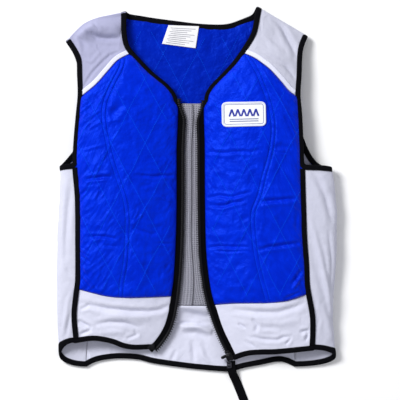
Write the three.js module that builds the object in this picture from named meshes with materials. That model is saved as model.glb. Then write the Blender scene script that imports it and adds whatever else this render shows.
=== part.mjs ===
// A sleeveless quilted cooling vest with an open front zip, laid flat on its back.
// Millimetres. +X is the viewer's right, +Y points to the neck and +Z up from the surface.
// Left and right are the wearer's, so the wearer's right front lies at -X.
import * as THREE from "three";

// Driving dimensions.
const lyingWidth = 487;
const bodyLength = 650;
const lyingHeight = 44;
const clothThickness = 1.2;
const quiltThickness = 7.5;
const backQuiltThickness = 6.4;
const quiltSeamThickness = 2;
const bindingWidth = 9.6;
const bindingWall = 0.7;
const slotClearance = 1.1;
const clearance = 0.6;
const seamGap = 0.8;
const seamTapeThickness = 1.2;
const zipTapeWidth = 10;
const zipTapeThickness = 1.4;
const zipTeethWidth = 2.8;
const zipTeethThickness = 3.2;
const rightZipEnd = 9;
const leftZipEnd = 20;
const facingThickness = 1.6;
const upperFacingReach = 25;
const lowerFacingReach = 41;
const facingTuck = 3;
const sliderWidth = 12;
const sliderLength = 13;
const sliderHeight = 6;
const sliderCorner = 2.5;
const sliderHornReach = 8;
const sliderHornWidth = 5.4;
const zipBoxWidth = 8;
const zipBoxLength = 3.4;
const zipBoxHeight = 4;
const zipBoxCorner = 1;
const zipPinWidth = 8;
const zipPinLength = 8;
const zipPinHeight = 4.2;
const zipPinCorner = 1.5;
const pullerWidth = 8.5;
const pullerLength = 12;
const pullerThickness = 1.4;
const pullerCorner = 2;
const pullerTurn = 0.4;
const strapWidth = 15;
const strapAside = 3.5;
const strapThickness = 1.6;
const patchWidth = 77;
const patchHeight = 43;
const patchThickness = 1.2;
const patchCorner = 7;
const labelWidth = 54;
const labelHeight = 38;
const labelThickness = 0.6;
const borderMargin = 2;
const restMargin = 0.5;

// Half the tape's thickness round the cloth's edge, and the height at which the thin
// cloth of the back lies, so that the tape on it clears the surface.
const bindingHalf = quiltSeamThickness / 2 + slotClearance + bindingWall;
const restHeight = bindingHalf + restMargin;
const edgeInset = bindingWall + clearance;
const borderWidth = bindingWidth + borderMargin;
const halfWidth = lyingWidth / 2;

const cloth = { color: 0xeeeef6, roughness: 0.75, metalness: 0 };
const quilt = { color: 0x0620dc, roughness: 0.55, metalness: 0 };
const blackTape = { color: 0x08080c, roughness: 0.8, metalness: 0 };
const toothPlastic = { color: 0x101014, roughness: 0.35, metalness: 0 };
const greyMesh = { color: 0xa6a6b4, roughness: 0.8, metalness: 0 };
const darkMetal = { color: 0x24242a, roughness: 0.4, metalness: 0.6 };
const patchCloth = { color: 0xf2f4fa, roughness: 0.6, metalness: 0 };

// In every table, down is a share of the body's length from the shoulder to the hem,
// across is a share of half the lying width, and height is a share of the lying height.
function table(columns, rows) {
  return rows.map((row) => Object.fromEntries(columns.map((name, i) => [name, row[i]])));
}

const outline = ["down", "across", "height"];

// Neck edge and zip edge of each front, from the shoulder down to the hem.
const rightInnerEdge = table(outline, [
  [0.016, -0.504, 0.4],
  [0.064, -0.504, 0.46],
  [0.09, -0.496, 0.47],
  [0.112, -0.475, 0.46],
  [0.141, -0.407, 0.45],
  [0.178, -0.313, 0.43],
  [0.214, -0.198, 0.4],
  [0.249, -0.138, 0.38],
  [0.386, -0.142, 0.38],
  [0.553, -0.144, 0.38],
  [0.693, -0.157, 0.35],
  [0.779, -0.18, 0.32],
  [0.83, -0.203, 0.3],
  [0.865, -0.235, 0.28],
  [0.899, -0.295, 0.27],
  [0.922, -0.356, 0.26],
]);
const leftInnerEdge = table(outline, [
  [0.001, 0.43, 0.4],
  [0.037, 0.412, 0.46],
  [0.072, 0.391, 0.47],
  [0.113, 0.326, 0.46],
  [0.151, 0.254, 0.44],
  [0.189, 0.161, 0.42],
  [0.217, 0.089, 0.4],
  [0.247, 0.053, 0.38],
  [0.386, 0.056, 0.38],
  [0.481, 0.057, 0.38],
  [0.615, 0.062, 0.38],
  [0.682, 0.071, 0.36],
  [0.763, 0.1, 0.33],
  [0.817, 0.139, 0.31],
  [0.871, 0.19, 0.29],
  [0.925, 0.259, 0.27],
  [0.949, 0.29, 0.26],
]);

// Armhole edge and side seam of each front, from the shoulder tip down to the hem.
const rightOuterEdge = table(outline, [
  [0.097, -0.938, 0.36],
  [0.12, -0.895, 0.44],
  [0.144, -0.862, 0.5],
  [0.187, -0.856, 0.54],
  [0.238, -0.852, 0.57],
  [0.292, -0.866, 0.6],
  [0.36, -0.882, 0.64],
  [0.419, -0.888, 0.66],
  [0.521, -0.867, 0.68],
  [0.629, -0.865, 0.68],
  [0.736, -0.866, 0.66],
  [0.774, -0.879, 0.64],
  [0.83, -0.893, 0.58],
  [0.906, -0.877, 0.46],
]);
const leftOuterEdge = table(outline, [
  [0.082, 0.797, 0.36],
  [0.103, 0.772, 0.44],
  [0.127, 0.757, 0.5],
  [0.189, 0.75, 0.54],
  [0.24, 0.743, 0.57],
  [0.292, 0.755, 0.6],
  [0.343, 0.762, 0.64],
  [0.425, 0.769, 0.67],
  [0.521, 0.776, 0.68],
  [0.623, 0.785, 0.68],
  [0.693, 0.799, 0.68],
  [0.752, 0.807, 0.66],
  [0.83, 0.843, 0.58],
  [0.882, 0.846, 0.5],
  [0.925, 0.84, 0.44],
]);

// Fold where each side panel turns under, from the armhole down to the hem.
const rightSideFold = table(outline, [
  [0.429, -0.976, 0.4],
  [0.494, -0.978, 0.38],
  [0.615, -0.993, 0.36],
  [0.763, -1, 0.34],
  [0.857, -0.997, 0.28],
  [0.941, -0.979, 0.2],
]);
const leftSideFold = table(outline, [
  [0.432, 0.962, 0.4],
  [0.486, 0.987, 0.38],
  [0.561, 0.999, 0.36],
  [0.629, 1, 0.36],
  [0.709, 0.991, 0.34],
  [0.79, 0.977, 0.32],
  [0.857, 0.976, 0.28],
  [0.944, 0.992, 0.22],
]);

// Seam between each side panel and the back, from the armhole down to the hem.
const rightBackSeam = table(outline, [
  [0.341, -0.787, 0],
  [0.521, -0.777, 0],
  [0.79, -0.777, 0],
  [0.97, -0.795, 0],
]);
const leftBackSeam = table(outline, [
  [0.284, 0.714, 0],
  [0.521, 0.689, 0],
  [0.79, 0.689, 0],
  [0.97, 0.707, 0],
]);

// Armhole edge of the back, from the shoulder tip down to the side panel's seam.
const rightBackArmhole = table(outline, [
  [0.097, -0.938, 0],
  [0.131, -0.881, 0],
  [0.177, -0.845, 0],
  [0.209, -0.838, 0],
  [0.265, -0.834, 0],
  [0.311, -0.816, 0],
  [0.341, -0.787, 0],
]);
const leftBackArmhole = table(outline, [
  [0.082, 0.797, 0],
  [0.123, 0.75, 0],
  [0.166, 0.732, 0],
  [0.209, 0.728, 0],
  [0.252, 0.718, 0],
  [0.284, 0.714, 0],
]);

// Lines that run across, as points between their two ends.
const across = ["across", "down"];
const rightShoulderFold = table(across, [
  [-0.504, 0.016],
  [-0.622, 0.025],
  [-0.716, 0.033],
  [-0.802, 0.047],
  [-0.866, 0.068],
  [-0.938, 0.097],
]);
const leftShoulderFold = table(across, [
  [0.43, 0.001],
  [0.621, 0.043],
  [0.797, 0.082],
]);
const rightYokeSeam = table(across, [
  [-0.489, 0.123],
  [-0.56, 0.141],
  [-0.634, 0.168],
  [-0.725, 0.206],
  [-0.817, 0.243],
]);
const leftYokeSeam = table(across, [
  [0.333, 0.123],
  [0.409, 0.139],
  [0.483, 0.158],
  [0.537, 0.175],
  [0.611, 0.206],
  [0.666, 0.23],
  [0.716, 0.25],
]);
const rightBackYokeSeam = table(across, [
  [-0.486, 0.03],
  [-0.586, 0.072],
  [-0.716, 0.136],
  [-0.838, 0.209],
]);
const leftBackYokeSeam = table(across, [
  [0.404, 0.022],
  [0.513, 0.075],
  [0.635, 0.142],
  [0.728, 0.209],
]);
const backNeckEdge = table(across, [
  [-0.486, 0.03],
  [-0.313, 0.034],
  [-0.155, 0.041],
  [-0.004, 0.048],
  [0.132, 0.05],
  [0.226, 0.047],
  [0.312, 0.036],
  [0.404, 0.022],
]);
const rightBandSeam = table(across, [
  [-0.184, 0.78],
  [-0.407, 0.783],
  [-0.543, 0.783],
  [-0.651, 0.779],
  [-0.751, 0.77],
  [-0.866, 0.758],
]);
const leftBandSeam = table(across, [
  [0.132, 0.803],
  [0.254, 0.799],
  [0.391, 0.798],
  [0.527, 0.797],
  [0.664, 0.79],
  [0.812, 0.77],
]);
const backBandSeam = table(across, [
  [-0.777, 0.79],
  [-0.407, 0.801],
  [-0.004, 0.805],
  [0.384, 0.803],
  [0.689, 0.793],
]);
const rightFrontHem = table(across, [
  [-0.356, 0.922],
  [-0.457, 0.923],
  [-0.533, 0.918],
  [-0.608, 0.907],
  [-0.694, 0.9],
  [-0.766, 0.899],
  [-0.877, 0.906],
]);
const leftFrontHem = table(across, [
  [0.29, 0.949],
  [0.333, 0.943],
  [0.391, 0.938],
  [0.477, 0.936],
  [0.574, 0.935],
  [0.739, 0.929],
  [0.84, 0.925],
]);
const backHem = table(across, [
  [-0.795, 0.97],
  [-0.737, 0.958],
  [-0.665, 0.951],
  [-0.557, 0.947],
  [-0.421, 0.95],
  [-0.313, 0.96],
  [-0.134, 0.97],
  [0.024, 0.977],
  [0.226, 0.982],
  [0.348, 0.972],
  [0.463, 0.964],
  [0.57, 0.956],
  [0.635, 0.958],
  [0.707, 0.97],
]);

// Curved double-stitched seam down each quilted front.
const rightPrincessSeam = table(["down", "across"], [
  [0.128, -0.5],
  [0.175, -0.533],
  [0.216, -0.588],
  [0.257, -0.634],
  [0.298, -0.647],
  [0.354, -0.624],
  [0.411, -0.588],
  [0.464, -0.542],
  [0.521, -0.494],
  [0.572, -0.478],
  [0.623, -0.482],
  [0.693, -0.496],
  [0.744, -0.519],
  [0.782, -0.529],
]);
const leftPrincessSeam = table(["down", "across"], [
  [0.128, 0.344],
  [0.175, 0.418],
  [0.216, 0.464],
  [0.264, 0.51],
  [0.308, 0.533],
  [0.354, 0.533],
  [0.405, 0.51],
  [0.453, 0.473],
  [0.508, 0.437],
  [0.553, 0.394],
  [0.607, 0.396],
  [0.674, 0.418],
  [0.734, 0.455],
  [0.794, 0.501],
]);

// Pull strap, over the back hem and out along the surface, measured from its start
// under the puller.
const pullStrap = table(outline, [
  [0.015, 0.003, 0.186],
  [0.033, 0.012, 0.175],
  [0.046, 0.028, 0.105],
  [0.06, 0.044, 0.04],
  [0.08, 0.066, 0.019],
  [0.106, 0.093, 0.019],
  [0.13, 0.115, 0.019],
]);

// Where the patch and the label lie, and how far they are turned, in radians.
const patchPlace = { across: 0.337, down: 0.291, turn: 0.02 };
const labelPlace = { across: -0.112, down: 0.093, turn: -0.08 };
const laidGap = 0.6;

// How far the fronts crown above the line between their edges.
const frontCrown = table(["down", "rise"], [
  [0, 0.02],
  [0.08, 0.08],
  [0.15, 0.16],
  [0.25, 0.26],
  [0.45, 0.3],
  [0.65, 0.29],
  [0.8, 0.22],
  [0.95, 0.1],
]);

// Rows of the quilted panels from the shoulder seam to the band: along is a share of
// the panel's length, and puff is the share of the full padding left at that row.
const rightQuiltRows = table(["along", "puff"], [
  [0.055, 0],
  [0.12, 0.8],
  [0.19, 1],
  [0.265, 1],
  [0.335, 1],
  [0.4, 0.9],
  [0.466, 0.25],
  [0.56, 0.95],
  [0.65, 0.9],
  [0.733, 0.35],
  [0.82, 0.95],
  [0.88, 0.8],
  [0.95, 0],
]);
const leftQuiltRows = table(["along", "puff"], [
  [0.055, 0],
  [0.12, 0.8],
  [0.19, 1],
  [0.26, 0.9],
  [0.335, 0.25],
  [0.4, 0.9],
  [0.48, 0.95],
  [0.553, 0.2],
  [0.62, 0.9],
  [0.7, 0.9],
  [0.765, 0.25],
  [0.83, 0.9],
  [0.89, 0.7],
  [0.95, 0],
]);
const backQuiltRows = table(["along", "puff"], [
  [0.03, 0],
  [0.08, 0.9],
  [0.16, 1],
  [0.24, 0.3],
  [0.32, 1],
  [0.41, 1],
  [0.5, 0.3],
  [0.59, 1],
  [0.68, 1],
  [0.76, 0.3],
  [0.84, 1],
  [0.92, 0.9],
  [0.97, 0],
]);
// Shares of the quilted back's side where the yoke seam and the armhole end.
const yokeShare = 0.24;
const armShare = 0.41;
const underarmRow = 0.335;

// Tapes that meet at less than this cosine are mitred.
const cornerTurn = 0.6;
const zipTopRow = 0.19;

// Shares of a half turn at which a folded piece is divided.
const foldTurns = [0, 0.15, 0.28, 0.37, 0.43, 0.48, 0.52, 0.57, 0.63, 0.72, 0.85, 1];

const lerp = THREE.MathUtils.lerp;
const clamp = THREE.MathUtils.clamp;

// Smooth reading of one column of a table at a value of its first column.
function readTable(rows, key, column, at) {
  const last = rows.length - 1;
  const value = clamp(at, rows[0][key], rows[last][key]);
  const next = Math.max(1, rows.findIndex((row) => row[key] >= value));
  const slope = (i) => {
    const before = rows[Math.max(0, i - 1)];
    const after = rows[Math.min(last, i + 1)];
    return (after[column] - before[column]) / (after[key] - before[key]);
  };
  const from = rows[next - 1];
  const to = rows[next];
  const span = to[key] - from[key];
  const u = (value - from[key]) / span;
  const rise = to[column] - from[column];
  const start = slope(next - 1) * span;
  const end = slope(next) * span;
  const square = 3 * rise - 2 * start - end;
  const cube = start + end - 2 * rise;
  return from[column] + u * (start + u * (square + u * cube));
}

function place(acrossShare, downShare) {
  return new THREE.Vector2(acrossShare * halfWidth, (0.5 - downShare) * bodyLength);
}

function downOf(point) {
  return 0.5 - point.y / bodyLength;
}

// Part of an edge that runs down, as a function of 0 to 1.
function edgeSpan(rows, fromDown, toDown) {
  return (share) => {
    const down = lerp(fromDown, toDown, share);
    return place(readTable(rows, "down", "across", down), down);
  };
}

// Smooth line across through a table's points, whose ends are moved onto two edges.
function lineSpan(rows, start, end) {
  const points = rows.map((row) => place(row.across, row.down));
  points[0] = start;
  points[points.length - 1] = end;
  const curve = new THREE.SplineCurve(points);
  return (share) => curve.getPointAt(share);
}

// Point of a four-sided patch blended from its edges: top and bottom run from the
// near side to the far side, near and far run from the top to the bottom.
function patchPoint(patch, side, along) {
  const near = patch.near(along);
  const far = patch.far(along);
  const top = patch.top(side);
  const bottom = patch.bottom(side);
  const point = near.clone().lerp(far, side).add(top.clone().lerp(bottom, along));
  const cornersTop = patch.near(0).clone().lerp(patch.far(0), side);
  const cornersBottom = patch.near(1).clone().lerp(patch.far(1), side);
  return point.sub(cornersTop.lerp(cornersBottom, along));
}

// Height of the middle of a front's cloth above the surface.
function frontHeight(front, point) {
  const down = downOf(point);
  const inner = readTable(front.inner, "down", "across", down) * halfWidth;
  const outer = readTable(front.outer, "down", "across", down) * halfWidth;
  const side = clamp((point.x - inner) / (outer - inner), 0, 1);
  const innerHeight = readTable(front.inner, "down", "height", down);
  const outerHeight = readTable(front.outer, "down", "height", down);
  const rise = readTable(frontCrown, "down", "rise", down) * 4 * side * (1 - side);
  return (lerp(innerHeight, outerHeight, side) + rise) * lyingHeight;
}

// Closed body from an upper and a lower grid of points with the same rows.
function closedSheet(upper, lower) {
  const rows = upper.length;
  const columns = upper[0].length;
  const positions = [];
  for (const grid of [upper, lower]) {
    for (const point of grid.flat()) positions.push(point.x, point.y, point.z);
  }
  const top = (row, column) => row * columns + column;
  const under = (row, column) => rows * columns + row * columns + column;
  const faces = [];
  for (let row = 0; row + 1 < rows; row += 1) {
    for (let column = 0; column + 1 < columns; column += 1) {
      const a = top(row, column);
      const b = top(row, column + 1);
      const c = top(row + 1, column + 1);
      const d = top(row + 1, column);
      const drop = rows * columns;
      faces.push(a, d, c, a, c, b);
      faces.push(a + drop, c + drop, d + drop, a + drop, b + drop, c + drop);
    }
  }
  const rim = [];
  for (let column = 0; column + 1 < columns; column += 1) rim.push([0, column]);
  for (let row = 0; row + 1 < rows; row += 1) rim.push([row, columns - 1]);
  for (let column = columns - 1; column > 0; column -= 1) rim.push([rows - 1, column]);
  for (let row = rows - 1; row > 0; row -= 1) rim.push([row, 0]);
  rim.forEach(([row, column], i) => {
    const [nextRow, nextColumn] = rim[(i + 1) % rim.length];
    const a = top(row, column);
    const b = top(nextRow, nextColumn);
    faces.push(a, b, under(nextRow, nextColumn), a, under(nextRow, nextColumn), under(row, column));
  });
  return solidFrom(positions, faces);
}

// Buffer geometry with its faces turned outward.
function solidFrom(positions, faces) {
  let volume = 0;
  const corner = (i) => new THREE.Vector3().fromArray(positions, faces[i] * 3);
  for (let i = 0; i < faces.length; i += 3) {
    volume += corner(i).dot(corner(i + 1).cross(corner(i + 2)));
  }
  if (volume < 0) faces.reverse();
  const geometry = new THREE.BufferGeometry();
  geometry.setAttribute("position", new THREE.Float32BufferAttribute(positions, 3));
  geometry.setIndex(faces);
  geometry.computeVertexNormals();
  return geometry;
}

// Unit normals of a grid of points, turned up where the grid faces up.
function gridNormals(grid) {
  return grid.map((line, row) => line.map((point, column) => {
    const before = grid[Math.max(0, row - 1)][column];
    const after = grid[Math.min(grid.length - 1, row + 1)][column];
    const beside = line[Math.max(0, column - 1)];
    const beyond = line[Math.min(line.length - 1, column + 1)];
    const along = after.clone().sub(before);
    return beyond.clone().sub(beside).cross(along).normalize();
  }));
}

// Upper and lower faces a given distance either side of a middle grid.
function thickened(grid, thicknessAt) {
  const normals = gridNormals(grid);
  const shifted = (sign) => grid.map((line, row) => line.map((point, column) => {
    const offset = (sign * thicknessAt(row, column)) / 2;
    return point.clone().addScaledVector(normals[row][column], offset);
  }));
  return closedSheet(shifted(1), shifted(-1));
}

// Tape stations along the edge of a grid. Each has the cloth's edge point and the unit
// direction into the cloth, in the grid's first facet. It stands square to the edge, or
// along the cloth's rows where a slanting edge turns round a fold, at the same width.
function edgeStations(edgeLine, innerLine, square = true) {
  const last = edgeLine.length - 1;
  return edgeLine.map((point, i) => {
    const along = edgeLine[Math.min(last, i + 1)].clone().sub(edgeLine[Math.max(0, i - 1)]).normalize();
    const into = innerLine[i].clone().sub(point);
    const straight = into.clone().addScaledVector(along, -into.dot(along));
    const inward = (square ? straight : into).clone().divideScalar(straight.length());
    return { point: point.clone(), inward };
  });
}

// One run of stations from several, with a mitre where two meet at a corner.
function joinStations(runs) {
  const joined = [];
  for (const run of runs) {
    const rest = run.slice();
    const before = joined.at(-1);
    const turn = before ? before.inward.dot(rest[0].inward) : 1;
    if (turn < cornerTurn) {
      const after = rest.shift();
      const inward = before.inward.clone().add(after.inward).divideScalar(1 + turn);
      joined[joined.length - 1] = { point: before.point.clone().lerp(after.point, 0.5), inward };
    }
    joined.push(...rest);
  }
  return joined;
}

// Section swept along stations. A section's points are distances into the cloth from its
// edge and distances above its middle.
function sweep(stations, section, closed = false) {
  const count = stations.length;
  const sides = section.length;
  const positions = [];
  stations.forEach((station, i) => {
    const before = stations[closed ? (i + count - 1) % count : Math.max(0, i - 1)].point;
    const after = stations[closed ? (i + 1) % count : Math.min(count - 1, i + 1)].point;
    const along = after.clone().sub(before).normalize();
    const up = along.cross(station.inward).normalize();
    for (const [into, above] of section) {
      const point = station.point.clone().addScaledVector(station.inward, into).addScaledVector(up, above);
      positions.push(point.x, point.y, point.z);
    }
  });
  const faces = [];
  const steps = closed ? count : count - 1;
  for (let i = 0; i < steps; i += 1) {
    const next = (i + 1) % count;
    for (let k = 0; k < sides; k += 1) {
      const a = i * sides + k;
      const b = i * sides + ((k + 1) % sides);
      const c = next * sides + ((k + 1) % sides);
      const d = next * sides + k;
      faces.push(a, b, c, a, c, d);
    }
  }
  if (!closed) {
    const contour = section.map(([into, above]) => new THREE.Vector2(into, above));
    const cap = THREE.ShapeUtils.triangulateShape(contour, []);
    const turned = THREE.ShapeUtils.area(contour) > 0;
    const last = (count - 1) * sides;
    for (const [a, b, c] of cap) {
      const [second, third] = turned ? [c, b] : [b, c];
      faces.push(a, second, third);
      faces.push(last + a, last + third, last + second);
    }
  }
  return solidFrom(positions, faces);
}

// Tape folded over a cloth edge, with a slot that clears the cloth.
function bindingSection() {
  const outer = -edgeInset;
  const inner = bindingWidth - edgeInset;
  const slot = quiltSeamThickness / 2 + slotClearance;
  return [
    [outer, -bindingHalf],
    [inner, -bindingHalf],
    [inner, -slot],
    [-clearance, -slot],
    [-clearance, slot],
    [inner, slot],
    [inner, bindingHalf],
    [outer, bindingHalf],
  ];
}

function flatSection(from, to, low, high) {
  return [[from, low], [to, low], [to, high], [from, high]];
}

const vest = new THREE.Group();

function addPiece(name, geometry, look) {
  const mesh = new THREE.Mesh(geometry, new THREE.MeshStandardMaterial(look));
  mesh.name = name;
  vest.add(mesh);
  return mesh;
}

const right = {
  name: "right",
  zipEnd: rightZipEnd,
  inner: rightInnerEdge,
  outer: rightOuterEdge,
  fold: rightSideFold,
  backSeam: rightBackSeam,
  backArmhole: rightBackArmhole,
  shoulderFold: rightShoulderFold,
  yokeSeam: rightYokeSeam,
  backYokeSeam: rightBackYokeSeam,
  bandSeam: rightBandSeam,
  hem: rightFrontHem,
  princess: rightPrincessSeam,
  quiltRows: rightQuiltRows,
};
const left = {
  name: "left",
  zipEnd: leftZipEnd,
  inner: leftInnerEdge,
  outer: leftOuterEdge,
  fold: leftSideFold,
  backSeam: leftBackSeam,
  backArmhole: leftBackArmhole,
  shoulderFold: leftShoulderFold,
  yokeSeam: leftYokeSeam,
  backYokeSeam: leftBackYokeSeam,
  bandSeam: leftBandSeam,
  hem: leftFrontHem,
  princess: leftPrincessSeam,
  quiltRows: leftQuiltRows,
};

const firstDown = (rows) => rows[0].down;
const lastDown = (rows) => rows[rows.length - 1].down;

// Patch between an inner and an outer edge, with seam lines above and below.
function patchBetween(innerRows, outerRows, topRows, bottomRows) {
  const near = edgeSpan(innerRows, firstDown(topRows), firstDown(bottomRows));
  const far = edgeSpan(outerRows, lastDown(topRows), lastDown(bottomRows));
  return {
    near,
    far,
    top: lineSpan(topRows, near(0), far(0)),
    bottom: lineSpan(bottomRows, near(1), far(1)),
  };
}

// Shares across a row: trimmed ends, a border as wide as the binding on each side, and
// divisions between.
function rowShares(length, nearTrim, farTrim, inside) {
  const nearBorder = borderWidth / length;
  const farBorder = 1 - borderWidth / length;
  const middle = inside.map((share) => lerp(nearBorder, farBorder, share));
  return [nearTrim / length, nearBorder, ...middle, farBorder, 1 - farTrim / length];
}

const seamTrim = seamGap / 2;

// Quilted front: a column follows the curved seam, where the padding is stitched down.
function buildQuiltedFront(front) {
  const patch = patchBetween(front.inner, front.outer, front.yokeSeam, front.bandSeam);
  const length = patch.near(0).distanceTo(patch.near(1));
  const rows = [
    { along: seamTrim / length, puff: 0 },
    ...front.quiltRows,
    { along: 1 - seamTrim / length, puff: 0 },
  ];
  const grid = [];
  const padding = [];
  const sideShares = [];
  for (const { along, puff } of rows) {
    const nearPoint = patch.near(along);
    const farPoint = patch.far(along);
    const width = nearPoint.distanceTo(farPoint);
    const down = (downOf(nearPoint) + downOf(farPoint)) / 2;
    const seamX = readTable(front.princess, "down", "across", down) * halfWidth;
    const seam = clamp((seamX - nearPoint.x) / (farPoint.x - nearPoint.x), 0.25, 0.75);
    const farTrim = along <= underarmRow ? edgeInset : seamTrim;
    const ends = rowShares(width, edgeInset, farTrim, []);
    const nearHalf = [0.3, 0.65].map((share) => lerp(ends[1], seam, share));
    const farHalf = [0.35, 0.7].map((share) => lerp(seam, ends[2], share));
    const shares = [ends[0], ends[1], ...nearHalf, seam, ...farHalf, ends[2], ends[3]];
    const fullness = [0, 0, 1, 1, 0.1, 1, 1, 0, 0];
    sideShares.push(shares);
    grid.push(shares.map((side) => {
      const point = patchPoint(patch, side, along);
      return new THREE.Vector3(point.x, point.y, frontHeight(front, point));
    }));
    padding.push(fullness.map((share) => lerp(quiltSeamThickness, quiltThickness, share * puff)));
  }
  const mesh = addPiece(`${front.name}_front_quilted_panel`,
    thickened(grid, (row, column) => padding[row][column]), quilt);
  const rowAt = (share) => rows.findIndex((row) => row.along === share);
  const column = (index) => grid.map((line) => line[index]);
  return {
    mesh,
    innerStations: edgeStations(column(0), column(1)),
    outerStations: edgeStations(column(8), column(7)),
    topShares: sideShares[0],
    bottomShares: sideShares.at(-1),
    zipRow: rowAt(zipTopRow),
    armRow: rowAt(underarmRow),
  };
}

// White stretch band below a quilted front.
function buildFrontBand(front, quiltedFront) {
  const patch = patchBetween(front.inner, front.outer, front.bandSeam, front.hem);
  const length = patch.near(0).distanceTo(patch.near(1));
  const alongs = rowShares(length, seamTrim, edgeInset, [0.5]);
  const grid = alongs.map((along) => quiltedFront.bottomShares.map((side) => {
    const point = patchPoint(patch, side, along);
    return new THREE.Vector3(point.x, point.y, frontHeight(front, point));
  }));
  addPiece(`${front.name}_front_band`, thickened(grid, () => clothThickness), cloth);
  const last = grid[0].length - 1;
  return {
    innerStations: edgeStations(grid.map((line) => line[0]), grid.map((line) => line[1])),
    outerStations: edgeStations(grid.map((line) => line[last]), grid.map((line) => line[last - 1])),
    hemStations: edgeStations(grid[grid.length - 1], grid[grid.length - 2]),
  };
}

// How much of a folded piece's height is left at a share of its reach to the fold.
const yokeRoundness = 5;
const sideRoundness = 2.4;
function roundOff(share, roundness) {
  return Math.pow(Math.max(0, 1 - Math.pow(share, roundness)), 1 / roundness);
}

// Shoulder yoke: from the front seam over the shoulder fold to the back seam.
const shoulderFoldHeight = 0.22;
function buildYoke(front, quiltedFront) {
  const fold = front.shoulderFold;
  const frontPatch = patchBetween(front.inner, front.outer, fold, front.yokeSeam);
  const neckEnd = place(front.backYokeSeam[0].across, front.backYokeSeam[0].down);
  const backPatch = {
    near: (share) => frontPatch.near(0).clone().lerp(neckEnd, share),
    far: edgeSpan(front.backArmhole, firstDown(front.backArmhole), lastDown(front.backYokeSeam)),
    top: frontPatch.top,
  };
  backPatch.bottom = lineSpan(front.backYokeSeam, neckEnd, backPatch.far(1));
  const foldHeight = shoulderFoldHeight * lyingHeight;
  const shares = [0, 0.3, 0.55, 0.75, 0.9, 0.97, 1];
  const sides = quiltedFront.topShares;
  const frontPoint = (side, reach) => {
    const point = patchPoint(frontPatch, side, 1 - reach);
    const height = lerp(foldHeight, frontHeight(front, point), roundOff(reach, yokeRoundness));
    return new THREE.Vector3(point.x, point.y, height);
  };
  const backPoint = (side, reach) => {
    const point = patchPoint(backPatch, side, 1 - reach);
    const height = lerp(foldHeight, restHeight, roundOff(reach, yokeRoundness));
    return new THREE.Vector3(point.x, point.y, height);
  };
  const length = frontPatch.near(0).distanceTo(frontPatch.near(1));
  const seamShare = seamTrim / length;
  const rows = [
    ...shares.map((reach) => sides.map((side) => frontPoint(side, Math.max(reach, seamShare)))),
    ...shares.slice(1, -1).reverse().map((reach) => sides.map((side) => backPoint(side, reach))),
    sides.map((side) => backPoint(side, seamShare)),
  ];
  addPiece(`${front.name}_shoulder_yoke`, thickened(rows, () => clothThickness), cloth);
  const last = sides.length - 1;
  return {
    neckStations: edgeStations(rows.map((line) => line[0]), rows.map((line) => line[1])),
    armStations: edgeStations(rows.map((line) => line[last]), rows.map((line) => line[last - 1])),
  };
}

// Side panel: from the front's side seam round the fold to the back's seam. Its top
// edge dips towards the fold and then climbs steeply up the back armhole.
const armholeSteepness = 2.8;
function buildSidePanel(front, quiltedFront, frontBand) {
  const underarm = quiltedFront.outerStations.slice(quiltedFront.armRow);
  const seamLine = [...underarm, ...frontBand.outerStations.slice(1)].map((station) => station.point);
  const topDown = downOf(seamLine[0]);
  const hemDown = downOf(seamLine[seamLine.length - 1]);
  const sideRow = (share) => {
    const down = lerp(topDown, hemDown, share);
    const seam = place(readTable(front.outer, "down", "across", down), down);
    const foldDown = lerp(firstDown(front.fold), lastDown(front.fold), share);
    const fold = place(readTable(front.fold, "down", "across", foldDown), foldDown);
    const backDown = lerp(firstDown(front.backSeam), lastDown(front.backSeam), share);
    const back = place(readTable(front.backSeam, "down", "across", backDown), backDown);
    const foldHeight = readTable(front.fold, "down", "height", foldDown) * lyingHeight;
    const seamHeight = readTable(front.outer, "down", "height", down) * lyingHeight;
    return foldTurns.map((turn, i) => {
      const angle = turn * Math.PI;
      const reach = Math.sin(angle);
      const settle = Math.abs(Math.cos(angle));
      const onFront = turn < 0.5;
      const end = onFront ? seam : back;
      const height = onFront ? seamHeight : restHeight;
      const climb = lerp(Math.pow(1 - reach, armholeSteepness), settle, Math.min(1, 1.6 * share));
      const dip = onFront ? settle : climb;
      const x = lerp(end.x, fold.x, reach);
      const y = lerp(fold.y, end.y, dip);
      const z = lerp(foldHeight, height, roundOff(reach, sideRoundness));
      const trim = i === 0 || i === foldTurns.length - 1 ? seamTrim : 0;
      return new THREE.Vector3(x + Math.sign(fold.x) * trim, y, z);
    });
  };
  const length = bodyLength * (hemDown - topDown);
  const shares = rowShares(length, edgeInset, edgeInset, [0.12, 0.26, 0.4, 0.54, 0.68, 0.8, 0.9]);
  const grid = shares.map((share) => sideRow(share));
  addPiece(`${front.name}_side_panel`, thickened(grid, () => clothThickness), cloth);
  return {
    topStations: edgeStations(grid[0], grid[1]),
    hemStations: edgeStations(grid[grid.length - 1], grid[grid.length - 2], false),
  };
}

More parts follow.
